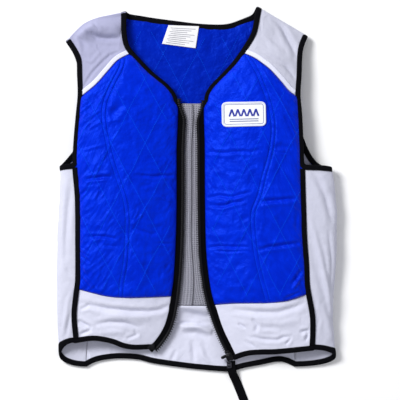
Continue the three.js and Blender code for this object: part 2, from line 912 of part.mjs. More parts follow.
// Quilted back: its underside is flat on the surface inside a border lifted by the tape.
function buildQuiltedBack() {
  const nearEnd = place(right.backYokeSeam[0].across, right.backYokeSeam[0].down);
  const farEnd = place(left.backYokeSeam[0].across, left.backYokeSeam[0].down);
  const neck = lineSpan(backNeckEdge, nearEnd, farEnd);
  const chain = (front, endPoint) => {
    const seam = lineSpan(front.backYokeSeam, endPoint,
      place(front.backYokeSeam.at(-1).across, front.backYokeSeam.at(-1).down));
    const armhole = edgeSpan(front.backArmhole, lastDown(front.backYokeSeam), lastDown(front.backArmhole));
    const side = edgeSpan(front.backSeam, firstDown(front.backSeam), front.bandDown);
    return (along) => {
      if (along < yokeShare) return seam(along / yokeShare);
      if (along < armShare) return armhole((along - yokeShare) / (armShare - yokeShare));
      return side((along - armShare) / (1 - armShare));
    };
  };
  const near = chain({ ...right, bandDown: firstDown(backBandSeam) }, nearEnd);
  const far = chain({ ...left, bandDown: lastDown(backBandSeam) }, farEnd);
  const patch = { near, far, top: neck, bottom: lineSpan(backBandSeam, near(1), far(1)) };
  const length = bodyLength * (firstDown(backBandSeam) - backNeckEdge[0].down);
  const rows = [
    { along: edgeInset / length, puff: 0 },
    ...backQuiltRows,
    { along: 1 - seamTrim / length, puff: 0 },
  ];
  const inside = [0.1, 0.26, 0.4, 0.5, 0.6, 0.74, 0.9];
  const fullness = [0, 0, 1, 1, 1, 0.3, 1, 1, 1, 0, 0];
  const grid = rows.map(({ along }) => {
    const onArmhole = along > yokeShare && along <= armShare;
    const trim = onArmhole ? edgeInset : seamTrim;
    const width = near(along).distanceTo(far(along));
    return rowShares(width, trim, trim, inside).map((side) => patchPoint(patch, side, along));
  });
  const seamTop = restHeight + quiltSeamThickness / 2;
  const seamUnder = restHeight - quiltSeamThickness / 2;
  const upper = grid.map((line, row) => line.map((point, column) => {
    const puff = rows[row].puff * fullness[column];
    return new THREE.Vector3(point.x, point.y, lerp(seamTop, backQuiltThickness, puff));
  }));
  const lower = grid.map((line, row) => line.map((point, column) => {
    const flat = rows[row].puff > 0 && fullness[column] > 0;
    return new THREE.Vector3(point.x, point.y, flat ? 0 : seamUnder);
  }));
  const mesh = addPiece("back_quilted_panel", closedSheet(upper, lower), quilt);
  const middle = grid.map((line) => line.map((point) => new THREE.Vector3(point.x, point.y, restHeight)));
  const last = middle[0].length - 1;
  const onArm = (row) => row.along >= yokeShare && row.along <= armShare;
  const armRows = rows.map((row, i) => i).filter((i) => onArm(rows[i]));
  const armLine = (index) => armRows.map((i) => middle[i][index]);
  return {
    mesh,
    neckStations: edgeStations(middle[0], middle[1]),
    rightArmStations: edgeStations(armLine(0), armLine(1)),
    leftArmStations: edgeStations(armLine(last), armLine(last - 1)),
  };
}

function buildBackBand() {
  const near = edgeSpan(right.backSeam, firstDown(backBandSeam), lastDown(right.backSeam));
  const far = edgeSpan(left.backSeam, lastDown(backBandSeam), lastDown(left.backSeam));
  const patch = {
    near,
    far,
    top: lineSpan(backBandSeam, near(0), far(0)),
    bottom: lineSpan(backHem, near(1), far(1)),
  };
  const length = near(0).distanceTo(near(1));
  const width = near(0).distanceTo(far(0));
  const inside = [0.08, 0.16, 0.25, 0.36, 0.47, 0.58, 0.68, 0.77, 0.85, 0.93];
  const sides = rowShares(width, seamTrim, seamTrim, inside);
  const grid = rowShares(length, seamTrim, edgeInset, [0.5]).map((along) => sides.map((side) => {
    const point = patchPoint(patch, side, along);
    return new THREE.Vector3(point.x, point.y, restHeight);
  }));
  addPiece("back_lower_band", thickened(grid, () => clothThickness), cloth);
  return edgeStations(grid[grid.length - 1], grid[grid.length - 2]);
}

const back = buildQuiltedBack();
const backHemStations = buildBackBand();
const fronts = [right, left].map((front) => {
  const quilted = buildQuiltedFront(front);
  const band = buildFrontBand(front, quilted);
  const yoke = buildYoke(front, quilted);
  const side = buildSidePanel(front, quilted, band);
  return { front, quilted, band, yoke, side };
});
const [rightSide, leftSide] = fronts;

// Neck edge, from the right zip top over both shoulders to the left zip top.
function buildNeckBinding() {
  const frontRun = (part) => part.quilted.innerStations.slice(0, part.quilted.zipRow + 1);
  const stations = joinStations([
    frontRun(rightSide).reverse(),
    rightSide.yoke.neckStations,
    back.neckStations,
    leftSide.yoke.neckStations.slice().reverse(),
    frontRun(leftSide),
  ]);
  addPiece("neckline_binding", sweep(stations, bindingSection()), blackTape);
}

function buildArmholeBinding(part, backStations) {
  const stations = joinStations([
    part.quilted.outerStations.slice(0, part.quilted.armRow + 1),
    part.side.topStations,
    backStations.slice().reverse(),
    part.yoke.armStations.slice().reverse(),
  ]);
  addPiece(`${part.front.name}_armhole_binding`, sweep(stations, bindingSection(), true), blackTape);
}

function buildHemBinding() {
  const stations = joinStations([
    rightSide.band.hemStations,
    rightSide.side.hemStations,
    backHemStations,
    leftSide.side.hemStations.slice().reverse(),
    leftSide.band.hemStations.slice().reverse(),
  ]);
  addPiece("hem_binding", sweep(stations, bindingSection()), blackTape);
}

// Flat tape over a side seam, between the armhole's tape and the hem's tape.
function buildSeamTape(part) {
  const above = quiltSeamThickness / 2 + clearance;
  const upper = part.quilted.outerStations.slice(part.quilted.armRow);
  const lower = part.band.outerStations;
  const stations = joinStations([upper, lower]);
  const belowArmhole = shortened(stations.reverse(), bindingWidth + clearance).reverse();
  const aboveHem = shortened(belowArmhole, bindingWidth + clearance);
  const section = flatSection(-edgeInset, bindingWidth - edgeInset, above, above + seamTapeThickness);
  addPiece(`${part.front.name}_side_seam_tape`, sweep(orient(aboveHem), section), blackTape);
}

// Stations whose cross product points up, so that above in a section is up.
function orient(stations) {
  const along = stations[1].point.clone().sub(stations[0].point);
  return along.cross(stations[0].inward).z > 0 ? stations : stations.slice().reverse();
}

// Stations turned level, for what hangs on an edge rather than wraps it.
function levelled(stations) {
  return stations.map(({ point, inward }) => ({ point, inward: inward.clone().setZ(0).normalize() }));
}

// Stations with a length taken off their end.
function shortened(stations, length) {
  const kept = stations.slice();
  let rest = length;
  let step = kept.at(-1).point.distanceTo(kept.at(-2).point);
  while (step < rest) {
    rest -= step;
    kept.pop();
    step = kept.at(-1).point.distanceTo(kept.at(-2).point);
  }
  const { point, inward } = kept.pop();
  kept.push({ point: point.clone().lerp(kept.at(-1).point, rest / step), inward });
  return kept;
}

// The zip's edge, from just under the neck's tape to a short way above the hem.
function zipStations(part) {
  const upper = part.quilted.innerStations.slice(part.quilted.zipRow);
  const stations = levelled(joinStations([upper, part.band.innerStations]));
  const fromTop = shortened(stations.reverse(), clearance).reverse();
  return shortened(fromTop, part.front.zipEnd);
}

function buildZip(part) {
  const stations = orient(zipStations(part));
  const halfTape = zipTapeThickness / 2;
  const tapeEdge = -clearance - zipTapeWidth;
  const tape = flatSection(tapeEdge, -clearance, -halfTape, halfTape);
  addPiece(`${part.front.name}_zip_tape`, sweep(stations, tape), blackTape);
  const teethEdge = tapeEdge - clearance;
  const halfTeeth = zipTeethThickness / 2;
  const teeth = flatSection(teethEdge - zipTeethWidth, teethEdge, -halfTeeth, halfTeeth);
  addPiece(`${part.front.name}_zip_teeth`, sweep(stations, teeth), toothPlastic);
}

// Grey mesh strip behind a zip edge, from the neck down to the band seam.
function facingStations(part) {
  const stations = part.quilted.innerStations.slice(part.quilted.zipRow);
  return orient(levelled(stations));
}

function buildFacings() {
  const top = -zipTeethThickness / 2 - clearance;
  const teethReach = 2 * clearance + zipTapeWidth + zipTeethWidth;
  const upperSection = flatSection(-upperFacingReach, -facingTuck, top - facingThickness, top);
  addPiece("right_zip_facing", sweep(facingStations(rightSide), upperSection), greyMesh);
  const lowerTop = top - facingThickness - 2 * clearance;
  const lowerSection = [
    [-lowerFacingReach, lowerTop - facingThickness],
    [-teethReach, lowerTop - facingThickness],
    [-facingTuck, top - facingThickness],
    [-facingTuck, top],
    [-teethReach, lowerTop],
    [-lowerFacingReach, lowerTop],
  ];
  addPiece("left_zip_facing", sweep(facingStations(leftSide), lowerSection), greyMesh);
}

// Places a piece past a zip's end, with its Y back up the zip and its X to the right.
// It lies over the tooth chain, moved by a distance towards the cloth.
function placeAtZipEnd(piece, part, towardCloth, past, above) {
  const stations = zipStations(part);
  const { point, inward } = stations.at(-1);
  const back = stations.at(-2).point.clone().sub(point).setZ(0).normalize();
  const up = new THREE.Vector3(0, 0, 1);
  const chain = clearance + zipTapeWidth + clearance + zipTeethWidth / 2;
  const sideways = back.clone().cross(up);
  piece.quaternion.setFromRotationMatrix(new THREE.Matrix4().makeBasis(sideways, back, up));
  const reach = (towardCloth - chain) * Math.sign(inward.dot(sideways));
  piece.position.copy(point).addScaledVector(sideways, reach).addScaledVector(back, -past);
  piece.position.z += above;
}

// Rectangle with round corners, centred on the origin.
function roundedRectangle(width, height, corner) {
  const shape = new THREE.Shape();
  const x = width / 2;
  const y = height / 2;
  shape.moveTo(corner - x, -y);
  shape.absarc(x - corner, corner - y, corner, -Math.PI / 2, 0);
  shape.absarc(x - corner, y - corner, corner, 0, Math.PI / 2);
  shape.absarc(corner - x, y - corner, corner, Math.PI / 2, Math.PI);
  shape.absarc(corner - x, corner - y, corner, Math.PI, Math.PI * 1.5);
  return shape;
}

function plate(shape, depth) {
  const geometry = new THREE.ExtrudeGeometry(shape, { depth, bevelEnabled: false, curveSegments: 3 });
  return geometry.translate(0, 0, -depth / 2);
}

// Slider at the left zip's end, with a horn towards the gap.
function sliderShape() {
  const shape = new THREE.Shape();
  const x = sliderWidth / 2;
  const y = sliderLength / 2;
  const horn = sliderHornWidth / 2;
  const hornMiddle = y - sliderHornWidth / 2;
  shape.moveTo(sliderCorner - x, -y);
  shape.lineTo(x - sliderCorner, -y);
  shape.absarc(x - sliderCorner, sliderCorner - y, sliderCorner, -Math.PI / 2, 0);
  shape.absarc(x - sliderCorner, y - sliderCorner, sliderCorner, 0, Math.PI / 2);
  shape.lineTo(-x, y);
  shape.absarc(horn - x - sliderHornReach, hornMiddle, horn, Math.PI / 2, Math.PI * 1.5);
  shape.lineTo(-x, hornMiddle - horn);
  shape.lineTo(-x, sliderCorner - y);
  return shape;
}

function roundedPlate(width, length, corner, height) {
  return plate(roundedRectangle(width, length, corner), height);
}

// Returns the puller, which the strap hangs from.
function buildZipEnds() {
  const boxCentre = clearance + zipBoxLength / 2;
  const boxForm = roundedPlate(zipBoxWidth, zipBoxLength, zipBoxCorner, zipBoxHeight);
  const box = addPiece("zip_box", boxForm, toothPlastic);
  placeAtZipEnd(box, leftSide, 1, boxCentre, 0);
  const slider = addPiece("zip_slider", plate(sliderShape(), sliderHeight), darkMetal);
  const sliderCentre = boxCentre + zipBoxLength / 2 + clearance + sliderLength / 2;
  placeAtZipEnd(slider, leftSide, 1, sliderCentre, 0);
  const pullerForm = roundedPlate(pullerWidth, pullerLength, pullerCorner, pullerThickness);
  const puller = addPiece("zip_puller", pullerForm.translate(0, -pullerLength / 2, 0), darkMetal);
  const pullerStart = sliderCentre + sliderLength / 2 + laidGap / 2;
  placeAtZipEnd(puller, leftSide, -3, pullerStart, -sliderHeight / 4);
  puller.rotateZ(-pullerTurn);
  const pinForm = roundedPlate(zipPinWidth, zipPinLength, zipPinCorner, zipPinHeight);
  const pin = addPiece("zip_pin", pinForm, toothPlastic);
  placeAtZipEnd(pin, rightSide, clearance + zipTapeWidth / 2, clearance + zipPinLength / 2, 0);
  return puller;
}

// Strap from under the puller down over the back hem and out along the surface.
function buildPullStrap(puller) {
  puller.updateMatrix();
  const below = (pullerThickness + strapThickness) / 2 + laidGap;
  const start = new THREE.Vector3(strapAside, 0, -below).applyMatrix4(puller.matrix);
  const line = new THREE.CatmullRomCurve3([start, ...pullStrap.map((row) => {
    const x = start.x + row.across * halfWidth;
    const y = start.y - row.down * bodyLength;
    return new THREE.Vector3(x, y, row.height * lyingHeight);
  })]);
  const count = 18;
  const stations = Array.from({ length: count + 1 }, (_, i) => {
    const along = line.getTangentAt(i / count);
    const inward = new THREE.Vector3(-along.y, along.x, 0).normalize();
    return { point: line.getPointAt(i / count), inward };
  });
  const side = strapWidth / 2;
  const section = flatSection(-side, side, -strapThickness / 2, strapThickness / 2);
  addPiece("pull_strap", sweep(stations, section), blackTape);
}

// Thin sewn-on piece that follows the face it lies on, with optional round corners.
function laidPiece(carrier, centre, turn, width, height, thickness, corner) {
  const down = new THREE.Vector3(0, 0, -1);
  const caster = new THREE.Raycaster();
  const bends = [-1, -0.94, -0.8, -0.4, 0, 0.4, 0.8, 0.94, 1];
  const columns = [-1, -0.75, -0.5, -0.25, 0, 0.25, 0.5, 0.75, 1];
  const under = bends.map((bend) => {
    const y = (bend * height) / 2;
    const past = Math.max(0, Math.abs(y) - (height / 2 - corner));
    const narrowing = corner > 0 ? corner - Math.sqrt(Math.max(0, corner * corner - past * past)) : 0;
    return columns.map((column) => {
      const x = column * (width / 2 - narrowing);
      const spot = new THREE.Vector2(x, y).rotateAround(new THREE.Vector2(), turn).add(centre);
      caster.set(new THREE.Vector3(spot.x, spot.y, 2 * lyingHeight), down);
      const hit = caster.intersectObject(carrier)[0];
      return new THREE.Vector3(spot.x, spot.y, hit.point.z + laidGap);
    });
  });
  const over = under.map((line) => line.map((point) => point.clone().setZ(point.z + thickness)));
  return closedSheet(over, under);
}

buildNeckBinding();
buildArmholeBinding(rightSide, back.rightArmStations);
buildArmholeBinding(leftSide, back.leftArmStations);
buildHemBinding();
fronts.forEach(buildSeamTape);
fronts.forEach(buildZip);
buildFacings();
buildPullStrap(buildZipEnds());
addPiece("chest_patch", laidPiece(leftSide.quilted.mesh, place(patchPlace.across, patchPlace.down),
  patchPlace.turn, patchWidth, patchHeight, patchThickness, patchCorner), patchCloth);
addPiece("care_label", laidPiece(back.mesh, place(labelPlace.across, labelPlace.down),
  labelPlace.turn, labelWidth, labelHeight, labelThickness, 0), patchCloth);

// The origin is under the middle of the lying vest, on the surface.
const bounds = new THREE.Box3().setFromObject(vest);
const middle = bounds.getCenter(new THREE.Vector3());
vest.position.set(-middle.x, -middle.y, -bounds.min.z);

export default vest;
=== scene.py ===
"""Looks of a sleeveless quilted cooling vest that lies open on its back.

Lengths are in millimetres until a mesh is made. In the tables, across is a share of half
the lying width, down a share of the body's length from shoulder to hem, and height a
share of the lying height. Left and right are the wearer's, so the right front is at -X.
"""

import math

import bpy
import numpy as np
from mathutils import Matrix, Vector
from mathutils.bvhtree import BVHTree


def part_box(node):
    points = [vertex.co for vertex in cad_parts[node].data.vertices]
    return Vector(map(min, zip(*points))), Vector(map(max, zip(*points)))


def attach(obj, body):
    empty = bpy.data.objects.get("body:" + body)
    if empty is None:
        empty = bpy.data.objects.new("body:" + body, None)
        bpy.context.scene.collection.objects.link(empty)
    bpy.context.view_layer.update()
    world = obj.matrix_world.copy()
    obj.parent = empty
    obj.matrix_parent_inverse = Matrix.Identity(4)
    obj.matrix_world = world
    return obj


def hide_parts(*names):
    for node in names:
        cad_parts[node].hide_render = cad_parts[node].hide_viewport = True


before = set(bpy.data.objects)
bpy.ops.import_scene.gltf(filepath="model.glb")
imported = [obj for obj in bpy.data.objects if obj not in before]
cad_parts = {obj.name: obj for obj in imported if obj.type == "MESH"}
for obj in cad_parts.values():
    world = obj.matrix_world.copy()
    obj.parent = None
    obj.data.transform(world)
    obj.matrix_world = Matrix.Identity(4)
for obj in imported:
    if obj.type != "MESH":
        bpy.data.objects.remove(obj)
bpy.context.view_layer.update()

SIDES = ("right", "left")
HALF_WIDTH = 243.5
BODY_LENGTH = 650.0
LYING_HEIGHT = 44.0
CLOTH = 1.2
SEAM_HALF = 1.0
TAPE_WIDTH = 9.6
TAPE_WALL = 0.8
TAPE_COVER = 7.5
TAPE_STEP = 2.2
EDGE_INSET = 1.3
BORDER = 11.6
SEAM_TRIM = 0.4
REST_HEIGHT = 3.3
CLEARANCE = 0.6
ZIP_TAPE_WIDTH = 10.0
PADDING_REACH = 16
FRONT_PADDING = 4.2
BACK_PADDING = 2.2

# Rows and columns of the grids that the pieces are made from.
FRONT_ROWS = 252
FRONT_EDGE_COLUMNS = 45
FRONT_SEAM_COLUMNS = 42
BAND_ROWS = 52
SIDE_ROWS, SIDE_COLUMNS = 152, 68
BACK_ROWS, BACK_COLUMNS = 150, 112
BACK_BAND_ROWS, BACK_BAND_COLUMNS = 60, 190

# Edges that run down, as rows of down, across and height.
EDGES = {
    "right": {
        "inner": [
            (0.016, -0.504, 0.4), (0.064, -0.504, 0.46), (0.09, -0.496, 0.47), (0.112, -0.475, 0.46),
            (0.141, -0.407, 0.45), (0.178, -0.313, 0.43), (0.214, -0.198, 0.4), (0.249, -0.138, 0.38),
            (0.386, -0.142, 0.38), (0.553, -0.144, 0.38), (0.693, -0.157, 0.35), (0.779, -0.18, 0.32),
            (0.83, -0.203, 0.3), (0.865, -0.235, 0.28), (0.899, -0.295, 0.27), (0.922, -0.356, 0.26),
        ],
        "outer": [
            (0.097, -0.938, 0.36), (0.12, -0.895, 0.44), (0.144, -0.862, 0.5), (0.187, -0.856, 0.54),
            (0.238, -0.852, 0.57), (0.292, -0.866, 0.6), (0.36, -0.882, 0.64), (0.419, -0.888, 0.66),
            (0.521, -0.867, 0.68), (0.629, -0.865, 0.68), (0.736, -0.866, 0.66), (0.774, -0.879, 0.64),
            (0.83, -0.893, 0.58), (0.906, -0.877, 0.46),
        ],
        "fold": [
            (0.429, -0.976, 0.4), (0.494, -0.978, 0.38), (0.615, -0.993, 0.36), (0.763, -1, 0.34),
            (0.857, -0.997, 0.28), (0.941, -0.979, 0.2),
        ],
        "back_seam": [(0.341, -0.787, 0), (0.521, -0.777, 0), (0.79, -0.777, 0), (0.97, -0.795, 0)],
        "back_armhole": [
            (0.097, -0.938, 0), (0.131, -0.881, 0), (0.177, -0.845, 0), (0.209, -0.838, 0),
            (0.265, -0.834, 0), (0.311, -0.816, 0), (0.341, -0.787, 0),
        ],
        "princess": [
            (0.128, -0.5, 0), (0.175, -0.533, 0), (0.216, -0.588, 0), (0.257, -0.634, 0),
            (0.298, -0.647, 0),
            (0.354, -0.624, 0), (0.411, -0.588, 0), (0.464, -0.542, 0), (0.521, -0.494, 0),
            (0.572, -0.478, 0),
            (0.623, -0.482, 0), (0.693, -0.496, 0), (0.744, -0.519, 0), (0.782, -0.529, 0),
        ],
    },
    "left": {
        "inner": [
            (0.001, 0.43, 0.4), (0.037, 0.412, 0.46), (0.072, 0.391, 0.47), (0.113, 0.326, 0.46),
            (0.151, 0.254, 0.44), (0.189, 0.161, 0.42), (0.217, 0.089, 0.4), (0.247, 0.053, 0.38),
            (0.386, 0.056, 0.38), (0.481, 0.057, 0.38), (0.615, 0.062, 0.38), (0.682, 0.071, 0.36),
            (0.763, 0.1, 0.33), (0.817, 0.139, 0.31), (0.871, 0.19, 0.29), (0.925, 0.259, 0.27),
            (0.949, 0.29, 0.26),
        ],
        "outer": [
            (0.082, 0.797, 0.36), (0.103, 0.772, 0.44), (0.127, 0.757, 0.5), (0.189, 0.75, 0.54),
            (0.24, 0.743, 0.57), (0.292, 0.755, 0.6), (0.343, 0.762, 0.64), (0.425, 0.769, 0.67),
            (0.521, 0.776, 0.68), (0.623, 0.785, 0.68), (0.693, 0.799, 0.68), (0.752, 0.807, 0.66),
            (0.83, 0.843, 0.58), (0.882, 0.846, 0.5), (0.925, 0.84, 0.44),
        ],
        "fold": [
            (0.432, 0.962, 0.4), (0.486, 0.987, 0.38), (0.561, 0.999, 0.36), (0.629, 1, 0.36),
            (0.709, 0.991, 0.34), (0.79, 0.977, 0.32), (0.857, 0.976, 0.28), (0.944, 0.992, 0.22),
        ],
        "back_seam": [(0.284, 0.714, 0), (0.521, 0.689, 0), (0.79, 0.689, 0), (0.97, 0.707, 0)],
        "back_armhole": [
            (0.082, 0.797, 0), (0.123, 0.75, 0), (0.166, 0.732, 0), (0.209, 0.728, 0), (0.252, 0.718, 0),
            (0.284, 0.714, 0),
        ],
        "princess": [
            (0.128, 0.344, 0), (0.175, 0.418, 0), (0.216, 0.464, 0), (0.264, 0.51, 0), (0.308, 0.533, 0),
            (0.354, 0.533, 0), (0.405, 0.51, 0), (0.453, 0.473, 0), (0.508, 0.437, 0), (0.553, 0.394, 0),
            (0.607, 0.396, 0), (0.674, 0.418, 0), (0.734, 0.455, 0), (0.794, 0.501, 0),
        ],
    },
}

# Lines that run across, as rows of across and down.
LINES = {
    "right": {
        "shoulder": [
            (-0.504, 0.016), (-0.622, 0.025), (-0.716, 0.033), (-0.802, 0.047), (-0.866, 0.068),
            (-0.938, 0.097),
        ],
        "yoke": [(-0.489, 0.124), (-0.56, 0.145), (-0.634, 0.175), (-0.725, 0.213), (-0.817, 0.252)],
        "back_yoke": [(-0.486, 0.021), (-0.586, 0.072), (-0.716, 0.136), (-0.838, 0.209)],
        "band": [
            (-0.184, 0.78), (-0.407, 0.783), (-0.543, 0.783), (-0.651, 0.779), (-0.751, 0.77),
            (-0.866, 0.758),
        ],
        "hem": [
            (-0.356, 0.922), (-0.457, 0.923), (-0.533, 0.918), (-0.608, 0.907), (-0.694, 0.9),
            (-0.766, 0.899),
            (-0.877, 0.906),
        ],
    },
    "left": {
        "shoulder": [(0.43, 0.001), (0.621, 0.043), (0.797, 0.082)],
        "yoke": [
            (0.333, 0.123), (0.409, 0.139), (0.483, 0.158), (0.537, 0.175), (0.611, 0.206), (0.666, 0.23),
            (0.716, 0.25),
        ],
        "back_yoke": [(0.404, 0.022), (0.513, 0.075), (0.635, 0.142), (0.728, 0.209)],
        "band": [
            (0.132, 0.803), (0.254, 0.799), (0.391, 0.798), (0.527, 0.797), (0.664, 0.79), (0.812, 0.77),
        ],
        "hem": [
            (0.29, 0.949), (0.333, 0.943), (0.391, 0.938), (0.477, 0.936), (0.574, 0.935), (0.739, 0.929),
            (0.84, 0.925),
        ],
    },
    "back": {
        "neck": [
            (-0.486, 0.021), (-0.407, 0.025), (-0.313, 0.031), (-0.155, 0.039), (-0.004, 0.046),
            (0.132, 0.049),
            (0.226, 0.047), (0.312, 0.036), (0.404, 0.022),
        ],
        "band": [(-0.777, 0.79), (-0.407, 0.801), (-0.004, 0.805), (0.384, 0.803), (0.689, 0.793)],
        "hem": [
            (-0.795, 0.97), (-0.737, 0.958), (-0.665, 0.951), (-0.557, 0.947), (-0.421, 0.95),
            (-0.313, 0.96),
            (-0.134, 0.97), (0.024, 0.977), (0.226, 0.982), (0.348, 0.972), (0.463, 0.964), (0.57, 0.956),
            (0.635, 0.958), (0.707, 0.97),
        ],
    },
}

# How far the fronts crown above the line between their edges, as rows of down and rise.
CROWN = [
    (0, 0.02), (0.08, 0.08), (0.15, 0.16), (0.25, 0.26), (0.45, 0.3), (0.65, 0.29), (0.8, 0.22),
    (0.95, 0.1),
]

# Folds, as rows of depth and half width in millimetres, then points of across and down.
# A fold is a valley between low ridges, or a ridge if its depth is less than nothing.
FRONT_FOLDS = {
    "right": [
        (3, 3, (-0.798, 0.466), (-0.723, 0.462), (-0.662, 0.459), (-0.608, 0.459)),
        (2.8, 2.6, (-0.46, 0.454), (-0.389, 0.456), (-0.309, 0.459), (-0.27, 0.456), (-0.152, 0.456)),
        (1.4, 3, (-0.407, 0.482), (-0.324, 0.482)),
        (2.6, 6.5, (-0.622, 0.295), (-0.572, 0.281), (-0.529, 0.263)),
        (2.2, 7, (-0.787, 0.284), (-0.751, 0.265), (-0.701, 0.247)),
        (-1.2, 2.4, (-0.795, 0.314), (-0.73, 0.292), (-0.672, 0.276)),
        (-1, 2.2, (-0.78, 0.333), (-0.68, 0.311)),
        (-1, 2.2, (-0.809, 0.389), (-0.694, 0.376)),
        (-1.5, 2.4, (-0.22, 0.263), (-0.184, 0.284), (-0.155, 0.31)),
        (-1.5, 2, (-0.313, 0.499), (-0.223, 0.518)),
        (-1.2, 1.8, (-0.213, 0.473), (-0.148, 0.513)),
        (-1.6, 2, (-0.299, 0.51), (-0.184, 0.526)),
        (2.4, 2.6, (-0.773, 0.619), (-0.662, 0.619), (-0.572, 0.625)),
        (1.2, 2.4, (-0.672, 0.642), (-0.572, 0.645)),
        (2.2, 2.8, (-0.457, 0.596), (-0.389, 0.606), (-0.329, 0.613), (-0.292, 0.611)),
        (1.2, 2, (-0.299, 0.636), (-0.17, 0.639)),
        (-1.2, 2, (-0.46, 0.588), (-0.392, 0.559)),
        (-1.1, 2, (-0.457, 0.58), (-0.414, 0.543)),
        (-2, 2, (-0.825, 0.717), (-0.78, 0.736), (-0.723, 0.759)),
        (2.2, 2.4, (-0.825, 0.73), (-0.748, 0.768)),
        (-1.5, 2, (-0.823, 0.653), (-0.773, 0.666)),
        (1.8, 2, (-0.828, 0.668), (-0.759, 0.689)),
        (-1.6, 2, (-0.809, 0.696), (-0.78, 0.72)),
        (-1.4, 8, (-0.414, 0.677), (-0.399, 0.752)),
        (1.6, 2.2, (-0.838, 0.51), (-0.78, 0.494)),
        (-1.6, 2, (-0.73, 0.521), (-0.701, 0.494)),
    ],
    "left": [
        (2.2, 2.6, (0.075, 0.397), (0.118, 0.392), (0.204, 0.395), (0.254, 0.392), (0.333, 0.391),
         (0.391, 0.393), (0.434, 0.387), (0.477, 0.388)),
        (2, 4, (0.549, 0.381), (0.599, 0.377), (0.681, 0.383)),
        (1.5, 2.2, (0.549, 0.392), (0.647, 0.395)),
        (2.4, 2.6, (0.08, 0.516), (0.166, 0.509), (0.253, 0.514), (0.333, 0.505), (0.402, 0.496)),
        (2.8, 2.8, (0.089, 0.534), (0.19, 0.537), (0.261, 0.529), (0.348, 0.523)),
        (-1.5, 2, (0.204, 0.531), (0.267, 0.513)),
        (3.4, 3.4, (0.441, 0.526), (0.575, 0.522), (0.728, 0.516)),
        (1.6, 3, (0.714, 0.556), (0.71, 0.596)),
        (1.4, 4, (0.315, 0.578), (0.376, 0.564)),
        (2.4, 2.4, (0.075, 0.649), (0.168, 0.645), (0.276, 0.647), (0.376, 0.647)),
        (1.6, 2, (0.132, 0.656), (0.211, 0.659), (0.376, 0.656)),
        (3.2, 3.2, (0.434, 0.656), (0.503, 0.648), (0.624, 0.642), (0.681, 0.639), (0.736, 0.637)),
        (2.6, 3.4, (0.675, 0.747), (0.714, 0.728), (0.757, 0.704)),
        (-1.8, 2.4, (0.678, 0.763), (0.739, 0.729)),
        (2, 2.4, (0.624, 0.785), (0.739, 0.767)),
        (-1.6, 2, (0.647, 0.247), (0.714, 0.262)),
        (-1.4, 2, (0.662, 0.319), (0.72, 0.354)),
        (1.5, 5, (0.182, 0.255), (0.254, 0.247), (0.326, 0.244)),
        (1.4, 2.4, (0.075, 0.462), (0.125, 0.494)),
        (-1.2, 2.4, (0.147, 0.489), (0.103, 0.462)),
    ],
}
YOKE_FOLDS = {
    "right": [
        (4, 4, (-0.809, 0.053), (-0.767, 0.072), (-0.718, 0.083), (-0.652, 0.087), (-0.55, 0.086)),
        (-10, 13, (-0.845, 0.085), (-0.809, 0.066), (-0.751, 0.055), (-0.651, 0.058), (-0.543, 0.064)),
        (1.4, 2.2, (-0.751, 0.042), (-0.694, 0.066)),
        (-2.4, 4.5, (-0.877, 0.074), (-0.845, 0.104), (-0.83, 0.133)),
        (2.6, 2.4, (-0.552, 0.123), (-0.619, 0.132), (-0.668, 0.149), (-0.726, 0.171),
         (-0.775, 0.195), (-0.809, 0.217)),
        (-1.2, 2.6, (-0.809, 0.144), (-0.751, 0.15), (-0.694, 0.123)),
    ],
    "left": [
        (4.2, 4.6, (0.534, 0.023), (0.563, 0.033), (0.611, 0.056), (0.651, 0.086),
         (0.685, 0.109), (0.714, 0.139)),
        (2.4, 4.2, (0.427, 0.112), (0.523, 0.137), (0.593, 0.15), (0.647, 0.164), (0.707, 0.195)),
        (1.6, 2.4, (0.628, 0.158), (0.671, 0.177), (0.714, 0.198)),
        (1.6, 6.5, (0.491, 0.029), (0.549, 0.047), (0.592, 0.074)),
        (-1.6, 4, (0.47, 0.077), (0.542, 0.107), (0.628, 0.128)),
        (0.9, 2, (0.452, 0.039), (0.463, 0.069)),
    ],
}
SIDE_FOLDS = {
    "right": [
        (2.6, 4.5, (-0.888, 0.456), (-0.92, 0.545), (-0.938, 0.629), (-0.941, 0.688)),
        (-2, 5, (-0.859, 0.494), (-0.881, 0.561), (-0.888, 0.629)),
        (2.2, 3.6, (-0.938, 0.704), (-0.909, 0.72), (-0.859, 0.731)),
        (-2.4, 3.6, (-0.874, 0.752), (-0.917, 0.79), (-0.953, 0.871)),
        (2.8, 3.2, (-0.888, 0.817), (-0.917, 0.849), (-0.938, 0.89)),
        (1.4, 3, (-0.967, 0.494), (-0.978, 0.602), (-0.981, 0.709)),
    ],
    "left": [
        (3.4, 5, (0.822, 0.44), (0.872, 0.473), (0.922, 0.513), (0.973, 0.586)),
        (2.8, 5, (0.779, 0.58), (0.822, 0.656), (0.872, 0.731), (0.922, 0.795)),
        (-2.8, 3.4, (0.807, 0.559), (0.881, 0.661), (0.937, 0.758), (0.966, 0.833)),
        (3.2, 3, (0.822, 0.763), (0.851, 0.795), (0.843, 0.814), (0.872, 0.844), (0.851, 0.882)),
        (-2.4, 5, (0.886, 0.801), (0.937, 0.849), (0.966, 0.898)),
        (1.8, 3, (0.944, 0.602), (0.966, 0.682), (0.966, 0.763)),
    ],
}
